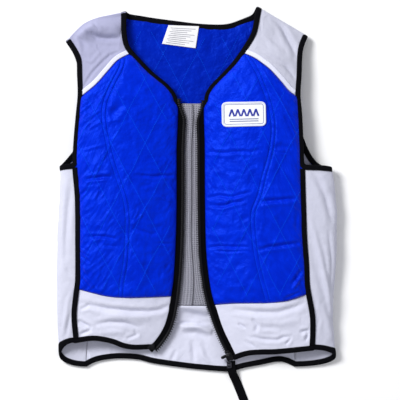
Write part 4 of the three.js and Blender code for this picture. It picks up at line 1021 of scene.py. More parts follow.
def build_front_band(side_name, front):
    edges, lines = EDGES[side_name], LINES[side_name]
    patch = patch_between(edges["inner"], edges["outer"], lines["band"], lines["hem"])
    length = np.linalg.norm(patch["near"](0) - patch["near"](1))
    side = np.ones((BAND_ROWS, 1)) * front["shares"][-1]
    along = shares_between(SEAM_TRIM / length, 1 - EDGE_INSET / length, BAND_ROWS)[:, None]
    along = along * np.ones_like(side)
    flat = patch_point(patch, side, along)
    middle = with_height(flat, front_height(side_name, flat))
    near = pillow(along * length, 12) * pillow((1 - along) * length - 8, 12)
    relief = near * soft_relief(flat, BAND_FOLDS[side_name], SEEDS[side_name] + 5, 0.6)
    thin_cloth(f"{side_name}_band", middle, relief, [f"{side_name}_front_band"])
    border = 6
    return {
        "inner": edge_stations(middle[:, 0], middle[:, border]),
        "outer": edge_stations(middle[:, -1], middle[:, -1 - border]),
        "hem": edge_stations(middle[-1], middle[-6]),
    }


def fold_reaches(roundness):
    """Shares of the way from a seam to a fold, closer together near the fold."""
    bend = np.linspace(math.asin(0.8 ** (roundness / 2)), math.pi / 2, 18)
    return np.concatenate([np.linspace(0, 0.8, 30)[:-1], np.sin(bend) ** (2 / roundness)])


def build_yoke(side_name, front):
    edges, lines = EDGES[side_name], LINES[side_name]
    front_patch = patch_between(edges["inner"], edges["outer"], lines["shoulder"], lines["yoke"])
    neck_end = place(*lines["back_yoke"][0])
    near_end = front_patch["near"](0.0)
    back_patch = {
        "near": lambda share: lerp(near_end, neck_end, np.asarray(share, float)[..., None]),
        "far": edge_span(edges["back_armhole"], edges["back_armhole"][0][0], lines["back_yoke"][-1][1]),
        "top": front_patch["top"],
    }
    back_patch["bottom"] = line_span(lines["back_yoke"], neck_end, back_patch["far"](1.0))
    reaches = fold_reaches(YOKE_ROUNDNESS)
    length = np.linalg.norm(front_patch["near"](0.0) - front_patch["near"](1.0))
    reaches = np.maximum(reaches, SEAM_TRIM / length)
    sides = front["shares"][0]
    reach, side = np.meshgrid(reaches, sides, indexing="ij")
    left_over = round_off(reach, YOKE_ROUNDNESS)
    fold_height = SHOULDER_FOLD[side_name] * LYING_HEIGHT
    upper = patch_point(front_patch, side, 1 - reach)
    lower = patch_point(back_patch, side, 1 - reach)
    upper = with_height(upper, lerp(fold_height, front_height(side_name, upper), left_over))
    lower = with_height(lower, lerp(fold_height, REST_HEIGHT, left_over))
    middle = np.vstack([upper, lower[-2::-1]])
    span = length * reach
    strip = 0.9 * smooth(1, 2.2, span) * (1 - smooth(8.2, 9, span))
    stitched = strip - 0.5 * np.exp(-((span - 7.2) / 0.5) ** 2)
    quiet = pillow(span, 18) * (1 - smooth(0.9, 1, reach))
    creases = quiet * soft_relief(upper, YOKE_FOLDS[side_name], SEEDS[side_name] + 9, 0.7)
    relief = np.vstack([stitched + creases, np.zeros((len(reaches) - 1, len(sides)))])
    width = np.linalg.norm(upper[0, 0] - upper[0, -1])
    edge = pillow(sides * width - 8, 14) * pillow((1 - sides) * width - 8, 14)
    # Each yoke uses its darkened white copy, which is painted shade.
    thin_cloth(f"{side_name}_yoke", middle, relief * edge, [f"{side_name}_shoulder_yoke"],
               YOKE_CLOTH_PAINTED_SHADE[side_name])
    return {
        "neck": edge_stations(middle[:, 0], middle[:, 10]),
        "arm": edge_stations(middle[:, -1], middle[:, -11]),
    }


def build_side_panel(side_name, front, band):
    edges = EDGES[side_name]
    under = part_of(front["outer"], front["arm_row"], None)
    top_down = down_of(under[0][0])
    hem_down = down_of(band["outer"][0][-1])
    length = BODY_LENGTH * (hem_down - top_down)
    share = shares_between(EDGE_INSET / length, 1 - EDGE_INSET / length, SIDE_ROWS)[:, None]
    turn = np.linspace(0, 1, SIDE_COLUMNS)[None, :]
    down = lerp(top_down, hem_down, share)
    seam = place(read_table(edges["outer"], 1, down), down)
    fold_down = lerp(edges["fold"][0][0], edges["fold"][-1][0], share)
    fold = place(read_table(edges["fold"], 1, fold_down), fold_down)
    back_down = lerp(edges["back_seam"][0][0], edges["back_seam"][-1][0], share)
    back = place(read_table(edges["back_seam"], 1, back_down), back_down)
    fold_height = read_table(edges["fold"], 2, fold_down) * LYING_HEIGHT
    seam_height = read_table(edges["outer"], 2, down) * LYING_HEIGHT
    reach = np.sin(turn * math.pi)
    settle = np.abs(np.cos(turn * math.pi))
    on_front = turn < 0.5
    end = np.where(on_front[..., None], seam, back)
    climb = lerp((1 - reach) ** ARMHOLE_STEEPNESS[side_name], settle, np.minimum(1, 1.6 * share))
    dip = np.where(on_front, settle, climb)
    trim = np.where((turn == 0) | (turn == 1), SEAM_TRIM, 0) * np.sign(fold[..., 0])
    x = lerp(end[..., 0], fold[..., 0], reach) + trim
    y = lerp(fold[..., 1], end[..., 1], dip)
    z = lerp(fold_height, np.where(on_front, seam_height, REST_HEIGHT), round_off(reach, SIDE_ROUNDNESS))
    middle = np.stack(np.broadcast_arrays(x, y, z), -1)
    quiet = pillow(share * length - 8, 14) * pillow((1 - share) * length - 8, 14)
    quiet = quiet * np.sin(turn * math.pi) ** 0.6 * np.where(on_front, 1, 0.3)
    relief = quiet * soft_relief(middle, SIDE_FOLDS[side_name], SEEDS[side_name] + 13, 0.7)
    # Side panels use the darker white copy, which is painted shade.
    thin_cloth(f"{side_name}_side", middle, relief, [f"{side_name}_side_panel"], WHITE_SIDE_PAINTED_SHADE)
    border = max(1, int(round(BORDER / length * SIDE_ROWS)))
    return {
        "top": edge_stations(middle[0], middle[border]),
        "hem": edge_stations(middle[-1], middle[-1 - border], square=False),
    }


def back_edge(side_name, band_down):
    """Edge of the quilted back from the neck down to the band, as a function of 0 to 1."""
    edges, lines = EDGES[side_name], LINES[side_name]
    seam = line_span(lines["back_yoke"], place(*lines["back_yoke"][0]), place(*lines["back_yoke"][-1]))
    armhole = edge_span(edges["back_armhole"], lines["back_yoke"][-1][1], edges["back_armhole"][-1][0])
    below = edge_span(edges["back_seam"], edges["back_seam"][0][0], band_down)

    def at(share):
        share = np.asarray(share, float)
        first = seam(np.clip(share / YOKE_SHARE, 0, 1))
        second = armhole(np.clip((share - YOKE_SHARE) / (ARM_SHARE - YOKE_SHARE), 0, 1))
        third = below(np.clip((share - ARM_SHARE) / (1 - ARM_SHARE), 0, 1))
        lower = np.where((share < ARM_SHARE)[..., None], second, third)
        return np.where((share < YOKE_SHARE)[..., None], first, lower)
    return at


def back_padding(points, beside, ends):
    """Distances of the back's upper and lower faces from the middle of its cloth."""
    x, y = points[..., 0], points[..., 1]
    edge = pillow(beside - 7, PADDING_REACH) * pillow(ends - 7, PADDING_REACH)
    pressed = 0.45 * diamonds(points, DIAMOND_CENTRE["back"], SEEDS["back"])
    uneven = 0.7 * noise(x, y, 40, 47) + 0.8 * creased(x, y, 22, 48) + 0.4 * creased(x, y, 11, 49) - 0.6
    above = SEAM_HALF + np.maximum(0, edge * (BACK_PADDING + pressed + uneven))
    below = SEAM_HALF + (REST_HEIGHT - SEAM_HALF) * pillow(beside - 9, 10) * pillow(ends - 9, 10)
    return above, below


def build_quilted_back():
    lines = LINES["back"]
    near = back_edge("right", lines["band"][0][1])
    far = back_edge("left", lines["band"][-1][1])
    patch = {
        "near": near,
        "far": far,
        "top": line_span(lines["neck"], near(0.0), far(0.0)),
        "bottom": line_span(lines["band"], near(1.0), far(1.0)),
    }
    length = BODY_LENGTH * (lines["band"][0][1] - lines["neck"][0][1])
    along = shares_between(EDGE_INSET / length, 1 - SEAM_TRIM / length, BACK_ROWS)[:, None]
    along = along * np.ones((1, BACK_COLUMNS))
    on_arm = (along > YOKE_SHARE) & (along <= ARM_SHARE)
    width = np.linalg.norm(near(along) - far(along), axis=-1)
    trim = np.where(on_arm, EDGE_INSET, SEAM_TRIM)
    side = lerp(trim / width, 1 - trim / width, np.linspace(0, 1, BACK_COLUMNS))
    flat = patch_point(patch, side, along)
    middle = with_height(flat, REST_HEIGHT)
    beside = np.minimum(side * width, (1 - side) * width)
    ends = np.minimum(along * length, (1 - along) * length)
    above, below = back_padding(flat, beside, ends)
    top = middle + np.array([0, 0, 1]) * above[..., None]
    under = middle - np.array([0, 0, 1]) * below[..., None]
    points, faces = closed_sheet(top, under)
    uv = arc_lengths(middle).reshape(-1, 2)
    # The back uses the darker blue copy, which is painted shade.
    piece = make_piece("back_quilted", points, faces, BACK_BLUE_PAINTED_SHADE, "blue_quilt", ["back_quilted_panel"],
                       np.vstack([uv, uv]), surface=True)
    arm_rows = np.where((along[:, 0] >= YOKE_SHARE) & (along[:, 0] <= ARM_SHARE))[0]
    first, last = arm_rows[0], arm_rows[-1] + 1
    return {
        "neck": edge_stations(middle[0], middle[5]),
        "right_arm": edge_stations(middle[first:last, 0], middle[first:last, 5]),
        "left_arm": edge_stations(middle[first:last, -1], middle[first:last, -6]),
        "top": top,
    }


def build_back_band():
    right, left, lines = EDGES["right"], EDGES["left"], LINES["back"]
    near = edge_span(right["back_seam"], lines["band"][0][1], right["back_seam"][-1][0])
    far = edge_span(left["back_seam"], lines["band"][-1][1], left["back_seam"][-1][0])
    patch = {
        "near": near,
        "far": far,
        "top": line_span(lines["band"], near(0.0), far(0.0)),
        "bottom": line_span(lines["hem"], near(1.0), far(1.0)),
    }
    length = np.linalg.norm(near(0.0) - near(1.0))
    width = np.linalg.norm(near(0.0) - far(0.0))
    rows = shares_between(SEAM_TRIM / length, 1 - EDGE_INSET / length, BACK_BAND_ROWS)
    columns = shares_between(SEAM_TRIM / width, 1 - SEAM_TRIM / width, BACK_BAND_COLUMNS)
    along, side = np.meshgrid(rows, columns, indexing="ij")
    flat = patch_point(patch, side, along)
    rise = 9 * np.exp(-(along * length / 14) ** 2) * np.exp(-((flat[..., 0] + 3) / 42) ** 4)
    middle = with_height(flat, REST_HEIGHT + rise)
    quiet = pillow(along * length, 12) * pillow((1 - along) * length - 8, 12)
    relief = quiet * soft_relief(flat, BAND_FOLDS["back"], 61, 0.5)
    relief = np.maximum(relief, CLOTH - middle[..., 2])
    thin_cloth("back_band", middle, relief, ["back_lower_band"])
    return edge_stations(middle[-1], middle[-6])


def tape_section():
    """Folded edge tape: out over the top, round the cloth's edge and back beneath."""
    arc = np.linspace(math.pi / 2, -math.pi / 2, 9)
    bend = 2.35
    centre = bend - EDGE_INSET
    round_edge = np.stack([centre - bend * np.cos(arc), bend * np.sin(arc)], -1)
    flat = np.array([(8.3, 1.75), (7.9, 2.05), (7.2, 1.95), (6.6, 2.2), (4.6, 2.42), (2.6, 2.45)])
    outside = np.vstack([flat, round_edge, (flat * [1, -1])[::-1]])
    along = unit(np.gradient(outside, axis=0))
    inside = outside + TAPE_WALL * np.stack([-along[:, 1], along[:, 0]], -1)
    return np.vstack([outside, inside[::-1]])


def strip_section(start, end, half, count=9, ribs=0.0):
    """Flat strip with rounded edges and, if asked, slight lengthwise ribs."""
    share = np.linspace(0, 1, count)
    into = lerp(start, end, share)
    rounded = np.minimum(1, 6 * share * (1 - share) + 0.25)
    above = half * rounded * (1 + ribs * np.cos(np.arange(count) * math.pi))
    top = np.stack([into, above], -1)
    return np.vstack([top, (top * [1, -1])[::-1]])


def swept_piece(name, stations, section, material, slot, nodes, closed=False):
    points, faces, uv = sweep(stations, section, closed)
    if not closed:
        faces = np.vstack([faces, cap_faces(len(stations[0]), len(section))])
    return make_piece(name, points, faces, material, slot, nodes, uv)


back = build_quilted_back()
back_hem = build_back_band()
parts = {}
for side_name in SIDES:
    front = build_quilted_front(side_name)
    band = build_front_band(side_name, front)
    yoke = build_yoke(side_name, front)
    side = build_side_panel(side_name, front, band)
    parts[side_name] = {"front": front, "band": band, "yoke": yoke, "side": side}


def neck_stations():
    right, left = parts["right"], parts["left"]
    run = join_stations([
        reverse(part_of(right["front"]["inner"], 0, right["front"]["zip_row"] + 1)),
        right["yoke"]["neck"],
        back["neck"],
        reverse(left["yoke"]["neck"]),
        part_of(left["front"]["inner"], 0, left["front"]["zip_row"] + 1),
    ])
    return resample(rounded(resample(lengthened(run, 13, 13), TAPE_STEP), 7), TAPE_STEP)


def armhole_stations(side_name):
    part = parts[side_name]
    run = join_stations([
        part_of(part["front"]["outer"], 0, part["front"]["arm_row"] + 1),
        part["side"]["top"],
        reverse(back[f"{side_name}_arm"]),
        reverse(part["yoke"]["arm"]),
    ])
    return rounded(resample(run, TAPE_STEP), 4, True)


def hem_stations():
    right, left = parts["right"], parts["left"]
    run = join_stations([
        right["band"]["hem"],
        right["side"]["hem"],
        back_hem,
        reverse(left["side"]["hem"]),
        reverse(left["band"]["hem"]),
    ])
    return resample(lengthened(run, 10, 6), TAPE_STEP)


def rounded(stations, passes, closed=False):
    """Stations with their corners rounded off."""
    points, inwards = (part.copy() for part in stations)
    for _ in range(passes):
        for part in (points, inwards):
            evened = (np.roll(part, 1, axis=0) + 2 * part + np.roll(part, -1, axis=0)) / 4
            if closed:
                part[:] = evened
            else:
                part[1:-1] = evened[1:-1]
    return points, unit(inwards)


def lengthened(stations, start, end):
    """Stations carried straight on past both ends of their run."""
    points, inwards = stations
    first, last = points[0] - points[1], points[-1] - points[-2]
    before = points[0] + first / np.linalg.norm(first) * start
    after = points[-1] + last / np.linalg.norm(last) * end
    return np.vstack([[before], points, [after]]), np.vstack([inwards[:1], inwards, inwards[-1:]])


def levelled(stations):
    points, inwards = stations
    return points, unit(inwards * [1, 1, 0])


def seam_tape(side_name):
    part = parts[side_name]
    under = part_of(part["front"]["outer"], part["front"]["arm_row"], None)
    stations = resample(join_stations([under, part["band"]["outer"]]), TAPE_STEP, 7, 7)
    section = strip_section(-EDGE_INSET, TAPE_WIDTH - EDGE_INSET, 0.6) + [0, 2.0]
    swept_piece(f"{side_name}_seam_tape", stations, section, BINDING, "black_binding",
                [f"{side_name}_side_seam_tape"])


# Distance from each zip's end to the hem, in millimetres.
ZIP_END = {"right": 9, "left": 20}


def zip_stations(side_name, step=TAPE_STEP, end=None):
    """Stations down a front's zip edge, which tucks in under the neck's tape."""
    part = parts[side_name]
    upper = part_of(part["front"]["inner"], part["front"]["zip_row"], None)
    stations = levelled(join_stations([upper, part["band"]["inner"]]))
    points, inwards = resample(stations, step, CLEARANCE, ZIP_END[side_name] if end is None else end)
    tucked = 8.5 * (1 - smooth(4, 38, step * np.arange(len(points))))
    return points + inwards * tucked[:, None], inwards


def slab(outline, low, high, bevel):
    """Plate with bevelled edges: rings of points, and the triangles between them."""
    outline = np.asarray(outline, float)
    centre = outline.mean(0)
    inset = outline + unit(centre - outline) * bevel
    count = len(outline)
    heights = ((inset, low), (outline, low + bevel), (outline, high - bevel), (inset, high))
    rings = [np.column_stack([ring, np.full(count, z)]) for ring, z in heights]
    points = np.vstack([*rings, [[*centre, low]], [[*centre, high]]])
    k = np.arange(count)
    nxt = (k + 1) % count
    faces = [np.column_stack([k, nxt, np.full(count, 4 * count)])[:, ::-1]]
    for ring in range(3):
        a, b = ring * count + k, ring * count + nxt
        faces += [np.column_stack([a, b, b + count]), np.column_stack([a, b + count, a + count])]
    faces.append(np.column_stack([3 * count + k, 3 * count + nxt, np.full(count, 4 * count + 1)]))
    return points, np.vstack(faces)


def merged(shapes):
    """One set of points and triangles from several."""
    points, faces, start = [], [], 0
    for shape_points, shape_faces in shapes:
        points.append(shape_points)
        faces.append(shape_faces + start)
        start += len(shape_points)
    return np.vstack(points), np.vstack(faces)


# Outline of a tooth, into the cloth and along the zip, and section of the cord that holds it.
TOOTH = [
    (-9.2, -0.95), (-13.0, -0.95), (-14.2, -0.85), (-16.7, -0.5), (-17.1, 0), (-16.7, 0.5), (-14.2, 0.85),
    (-13.0, 0.95), (-9.2, 0.95),
]
TOOTH_PITCH = 3.7
TOOTH_CORD = [(-9.4, 1.1), (-11.5, 1.5), (-13.9, 1.1), (-13.9, -1.1), (-11.5, -1.5), (-9.4, -1.1)]


def build_teeth(side_name):
    """Moulded teeth in a row along the tape's outer edge."""
    points, inwards = zip_stations(side_name, TOOTH_PITCH)
    along = unit(np.gradient(points, axis=0))
    up = np.cross(along, inwards)
    up *= np.sign(up[:, 2:])
    tooth, faces = slab(TOOTH, -1.5, 1.6, 0.4)
    shapes = []
    for i in range(len(points)):
        moved = points[i] + tooth[:, :1] * inwards[i] + tooth[:, 1:2] * along[i] + tooth[:, 2:] * up[i]
        shapes.append((moved, faces))
    cord, quads, _ = sweep((points, inwards), TOOTH_CORD)
    shapes.append((cord, halved(np.vstack([quads, cap_faces(len(points), len(TOOTH_CORD))]))))
    make_piece(f"{side_name}_teeth", *merged(shapes), PLASTIC, "zip_plastic", [f"{side_name}_zip_teeth"])


def build_zip_tape(side_name):
    section = strip_section(-CLEARANCE - ZIP_TAPE_WIDTH, 0.4, 0.6, 13, 0.12)
    section[[1, 2], 1] += 0.35
    section[[-2, -3], 1] -= 0.35
    swept_piece(f"{side_name}_zip_tape_cloth", zip_stations(side_name, end=1), section, ZIP_TAPE,
                "black_binding", [f"{side_name}_zip_tape"])


CELL = 3.4
HOLE_SIDES = 8
HOLE_RADIUS = 0.3
HOLE_DEPTH = 1.0
MESH_THICKNESS = 1.5
FACING_TOP = 0.262
FACING_END = 0.804


def hole_rings(grid, drop):
    """Points round the hole of each cell of a grid, some way below its upper face."""
    corner = [grid[:-1, :-1], grid[1:, :-1], grid[1:, 1:], grid[:-1, 1:]]
    angle = np.linspace(0, 2 * math.pi, HOLE_SIDES, endpoint=False) - 3 * math.pi / 4
    u, v = 0.5 + HOLE_RADIUS * np.cos(angle), 0.5 + HOLE_RADIUS * np.sin(angle)
    spread = [lerp(lerp(corner[0], corner[3], a), lerp(corner[1], corner[2], a), b) for a, b in zip(u, v)]
    return (np.stack(spread, 2) - [0, 0, drop]).reshape(-1, HOLE_SIDES, 3)


def hole_faces(square, high, low):
    """Triangles from each cell's corners to its hole, down the hole and over its bottom."""
    faces = []
    for k in range(4):
        a, b = square[:, k], square[:, (k + 1) % 4]
        r0, r1, r2 = (high[:, (2 * k + j) % HOLE_SIDES] for j in range(3))
        faces += [np.stack([a, r1, r0], -1), np.stack([a, b, r1], -1), np.stack([b, r2, r1], -1)]
    for k in range(HOLE_SIDES):
        n = (k + 1) % HOLE_SIDES
        faces.append(np.stack([high[:, k], high[:, n], low[:, n]], -1))
        faces.append(np.stack([high[:, k], low[:, n], low[:, k]], -1))
        if 0 < k < HOLE_SIDES - 1:
            faces.append(np.stack([low[:, 0], low[:, k], low[:, k + 1]], -1))
    return faces


def perforated(name, stations, reach, flare, top, nodes):
    """Spacer mesh: a strip of small cells, each with a round hole in its upper face."""
    points, inwards = resample(stations, CELL)
    columns = int(round((reach[1] - reach[0]) / CELL)) + 1
    into = np.linspace(reach[0], reach[1], columns)
    widened = 1 + flare * smooth(0.6, 1, np.linspace(0, 1, len(points)))[:, None]
    grid = points[:, None] + inwards[:, None] * (reach[1] + (into[None] - reach[1]) * widened)[..., None]
    x, y = grid[..., 0], grid[..., 1]
    grid[..., 2] += np.interp(into, top[0], top[1])
    grid[..., 2] += 0.5 * noise(x, y, 30, 71) + 0.3 * noise(x, y, 12, 72)
    rows = len(grid)
    base = rows * columns
    index = np.arange(base).reshape(rows, columns)
    square = np.stack([index[:-1, :-1], index[:-1, 1:], index[1:, 1:], index[1:, :-1]], -1).reshape(-1, 4)
    high = 2 * base + np.arange(len(square))[:, None] * 2 * HOLE_SIDES + np.arange(HOLE_SIDES)
    rim = rim_of(index)
    following = np.roll(rim, -1)
    sides = np.stack([rim, rim + base, following + base, following], -1)
    quads = np.vstack([grid_faces(rows, columns)[:, ::-1] + base, sides])
    faces = np.vstack([*hole_faces(square, high, high + HOLE_SIDES), halved(quads)])
    rings = np.concatenate([hole_rings(grid, 0.0), hole_rings(grid, HOLE_DEPTH)], 1).reshape(-1, 3)
    under = grid - [0, 0, MESH_THICKNESS]
    every = np.vstack([grid.reshape(-1, 3), under.reshape(-1, 3), rings])
    return make_piece(name, every, faces, MESH, "grey_mesh", nodes, every[:, :2])


def facing_stations(side_name):
    """Stations down a front's inner edge whose strips across are level."""
    rows = EDGES[side_name]["inner"]
    down = np.linspace(FACING_TOP, FACING_END, 200)
    edge = place(read_table(rows, 1, down), down)
    points = np.column_stack([edge, read_table(rows, 2, down) * LYING_HEIGHT])
    into = -1.0 if side_name == "right" else 1.0
    return points, np.tile([into, 0.0, 0.0], (len(down), 1))


def zip_end_frame(side_name):
    """Place just past a zip's end, with the directions to its right and back up the zip."""
    points, inwards = zip_stations(side_name)
    point, inward = points[-1], inwards[-1]
    backward = points[-4] - point
    backward[2] = 0
    backward /= np.linalg.norm(backward)
    sideways = np.cross(backward, [0, 0, 1])
    return point, sideways, backward, np.sign(inward @ sideways)


def placed(side_name, shape, toward, past, above, turn=0.0):
    """A small shape past a zip's end, moved towards the cloth and turned on the spot."""
    point, sideways, backward, sign = zip_end_frame(side_name)
    points, faces = shape
    cos, sin = math.cos(turn), math.sin(turn)
    x = points[:, 0] * cos - points[:, 1] * sin
    y = points[:, 0] * sin + points[:, 1] * cos
    x = x + (toward - 12.6) * sign
    y = y - past
    return point + x[:, None] * sideways + y[:, None] * backward + (points[:, 2:] + above) * [0, 0, 1], faces


def round_corners(width, length, corner, steps=4):
    outline = []
    for quarter, (sx, sy) in enumerate(((1, 1), (-1, 1), (-1, -1), (1, -1))):
        for angle in np.linspace(0, math.pi / 2, steps + 1) + quarter * math.pi / 2:
            outline.append((sx * (width / 2 - corner) + corner * math.cos(angle),
                            sy * (length / 2 - corner) + corner * math.sin(angle)))
    return np.array(outline)


def shifted(shape, x=0.0, y=0.0, z=0.0):
    return shape[0] + [x, y, z], shape[1]


# The puller's place past the zip's end, towards the cloth and down, and its turn.
PULLER_ASIDE, PULLER_PAST, PULLER_TURN = -3, 17.9, -0.4
PIN_TURN = -0.87


def build_zip_ends():
    box = slab(round_corners(8, 3.4, 1), -2, 2, 0.4)
    make_piece("zip_end_box", *placed("left", box, 1, 2.3, 0), PLASTIC, "zip_plastic", ["zip_box"])
    plates = [
        slab(round_corners(12, 13, 2.6), -3, -1.2, 0.4),
        slab(round_corners(11, 12, 2.4), -1.4, 1.4, 0.2),
        slab(round_corners(12, 13, 2.6), 1.2, 2.6, 0.4),
        shifted(slab(round_corners(11, 5.4, 2.6), -2.2, 2.2, 0.8), -8.5, 3.8),
        shifted(slab(round_corners(3.4, 9, 1.6), 2.4, 4.2, 0.7), 0, -0.5),
    ]
    slider = merged(plates)
    make_piece("zip_slider_body", *placed("left", slider, 1, 11.1, 0), PLASTIC, "dark_metal", ["zip_slider"])
    frame_bars = [
        shifted(slab(round_corners(1.9, 12, 0.9), -0.8, 0.8, 0.4), -3.3, -6),
        shifted(slab(round_corners(1.9, 12, 0.9), -0.8, 0.8, 0.4), 3.3, -6),
        shifted(slab(round_corners(8.5, 2.2, 1), -0.8, 0.8, 0.4), 0, -11),
        shifted(slab(round_corners(8.5, 3, 1.2), -0.8, 0.8, 0.4), 0, -1.6),
        shifted(slab(round_corners(6.2, 4.4, 1), -0.6, 0.6, 0.3), 0, -6.6),
    ]
    puller = merged(frame_bars)
    puller = placed("left", puller, PULLER_ASIDE, PULLER_PAST, -1.5, PULLER_TURN)
    make_piece("zip_puller_tab", *puller, METAL, "dark_metal", ["zip_puller"])
    pin = merged([
        slab(round_corners(8.6, 14, 1.5), -2.6, 2.9, 0.7),
        shifted(slab(round_corners(10.6, 6, 1.2), -2.6, 3.3, 0.7), 0, 4.2),
    ])
    pin = placed("right", pin, 11, 2.6, 0, PIN_TURN)
    make_piece("zip_end_pin", *pin, PLASTIC, "zip_plastic", ["zip_pin"])


# Strap, as rows of across and down from the puller, and height.
STRAP = [
    (0, 0, 0.188), (0.015, 0.003, 0.186), (0.033, 0.012, 0.175), (0.046, 0.028, 0.105), (0.06, 0.044, 0.04),
    (0.08, 0.066, 0.022), (0.106, 0.093, 0.022), (0.13, 0.115, 0.022),
]
STRAP_ASIDE = 3.5
STRAP_HALF = 7.5


def build_strap():
    """Strap from the puller over the back hem and out along the surface."""
    tied = STRAP_ASIDE * np.array([[math.cos(PULLER_TURN), math.sin(PULLER_TURN), 0.0]])
    start = placed("left", (tied, None), PULLER_ASIDE, PULLER_PAST, 0)[0][0]
    rows = np.column_stack([np.linspace(0, 1, len(STRAP)), STRAP])
    at = np.linspace(0, 1, 70)
    x = start[0] + read_table(rows, 2, at) * HALF_WIDTH
    y = start[1] - read_table(rows, 1, at) * BODY_LENGTH
    z = read_table(rows, 3, at) * LYING_HEIGHT
    points = np.stack([x, y, z], -1)
    along = np.gradient(points, axis=0)
    across = unit(np.stack([-along[:, 1], along[:, 0], 0 * x], -1))
    section = strip_section(-STRAP_HALF, STRAP_HALF, 0.8, 19, 0.1)
    swept_piece("strap", (points, across), section, BINDING, "black_binding", ["pull_strap"])


swept_piece("neck_tape", neck_stations(), tape_section(), BINDING, "black_binding", ["neckline_binding"])
swept_piece("hem_tape", hem_stations(), tape_section(), BINDING, "black_binding", ["hem_binding"])
for side_name in SIDES:
    swept_piece(f"{side_name}_armhole_tape", armhole_stations(side_name), tape_section(), BINDING,
                "black_binding", [f"{side_name}_armhole_binding"], closed=True)
    seam_tape(side_name)
    build_zip_tape(side_name)
    build_teeth(side_name)
perforated("right_facing", facing_stations("right"), (-25, -3), 0.55, ([-25, -3], [-2.3, -2.3]),
           ["right_zip_facing"])
perforated("left_facing", facing_stations("left"), (-41, -3), 0.25, ([-41, -14, -3], [-5.1, -5.1, -2.6]),
           ["left_zip_facing"])
build_zip_ends()
build_strap()


TAPE_STITCH_STEP = 3.3
TAPE_STITCH_INTO = 7.1
TAPE_STITCH_ABOVE = 1.95
STITCH_RING = [(math.cos(a), math.sin(a)) for a in np.linspace(0, 2 * math.pi, 5, endpoint=False)]


def stitch_shapes(points, normals, length, width):
    """Short threads along a line of points: each a closed body with two pointed ends."""
    along = unit(np.gradient(points, axis=0))
    beside = unit(np.cross(normals, along))
    rings = []
    for shift in (-0.32, 0.32):
        middle = points + along * shift * length
        rings += [middle + beside * c * width / 2 + normals * s * width * 0.35 for c, s in STITCH_RING]
    tips = [points - along * length / 2, points + along * length / 2]
    stacked = np.stack([*rings, *tips], 1)
    k = np.arange(5)
    following = (k + 1) % 5
    faces = np.vstack([
        np.column_stack([k, following, following + 5]),
        np.column_stack([k, following + 5, k + 5]),
        np.column_stack([following, k, np.full(5, 10)]),
        np.column_stack([k + 5, following + 5, np.full(5, 11)]),
    ])
    count = len(points)
    every = (faces[None] + 12 * np.arange(count)[:, None, None]).reshape(-1, 3)
    return stacked.reshape(-1, 3), every


def stitched(name, lines, material, slot, length=2.5, width=0.7):
    """One piece of thread from several lines of points with their normals."""
    shapes = [stitch_shapes(points, normals, length, width) for points, normals in lines if len(points) > 2]
    points, faces = merged(shapes)
    make_piece(name, points, faces, material, slot, [])


def spaced(curve, pitch):
    """Points at an even spacing along a curve."""
    reach = reach_along(curve)
    at = np.linspace(0, reach[-1], max(3, int(reach[-1] / pitch)))
    return np.stack([np.interp(at, reach, curve[:, k]) for k in range(curve.shape[1])], -1)


def tape_stitches(stations):
    """Lines of stitches on both faces of a tape."""
    points, inwards = resample(stations, TAPE_STITCH_STEP)
    along = unit(np.gradient(points, axis=0))
    ups = unit(np.cross(along, inwards))
    line = points + inwards * TAPE_STITCH_INTO
    return [(line + ups * TAPE_STITCH_ABOVE, ups), (line - ups * TAPE_STITCH_ABOVE, -ups)]


def princess_lines(side_name):
    """Two lines of stitches down a front's curved seam."""
    rows = EDGES[side_name]["princess"]
    down = np.linspace(rows[0][0] + 0.006, rows[-1][0] - 0.006, 300)
    seam = place(read_table(rows, 1, down), down)
    ahead = np.gradient(seam, axis=0)
    sideways = unit(np.stack([ahead[:, 1], -ahead[:, 0]], -1))
    outward = np.sign(sideways[:, :1]) * (-1 if side_name == "right" else 1)
    surface = f"{side_name}_front_quilted"
    return [laid_on(surface, spaced(seam + sideways * outward * reach, 3.2), 0.1) for reach in (0, 7)]


def inside_outline(points, outline):
    """Which points lie within a closed outline."""
    within = np.zeros(len(points), bool)
    x, y = points[:, 0], points[:, 1]
    for (x0, y0), (x1, y1) in zip(outline, np.roll(outline, -1, axis=0)):
        crosses = (y0 > y) != (y1 > y)
        at = x0 + (y - y0) * (x1 - x0) / (y1 - y0 if y1 != y0 else 1)
        within ^= crosses & (x < at)
    return within


def diamond_lines(surface, outline, centre, pitch, seed):
    """Crossing lines of quilting stitches inside an outline."""
    middle = place(*centre)
    low, high = outline.min(0), outline.max(0)
    reach = np.hypot(*(high - low))
    lines = []
    for sign in (1, -1):
        across = np.array([math.sin(DIAMOND_ANGLE), sign * math.cos(DIAMOND_ANGLE)])
        forward = np.array([-across[1], across[0]])
        for step in range(-12, 13):
            at = np.arange(-reach, reach, pitch)
            points = middle + across * step * DIAMOND_PITCH + forward * at[:, None]
            points = points - across * wander(points[:, 0], points[:, 1], seed, sign)[:, None]
            keep = inside_outline(points, outline)
            breaks = np.where(np.diff(np.flatnonzero(keep)) > 1)[0] + 1
            for run in np.split(np.flatnonzero(keep), breaks):
                if len(run) > 3:
                    lines.append(laid_on(surface, points[run], 0.05))
    return lines


def outline_of(grid, inset):
    """Outline of a grid in plan, a few rows and columns in from its edges."""
    return rim_of(grid[inset:-inset, inset:-inset, :2])


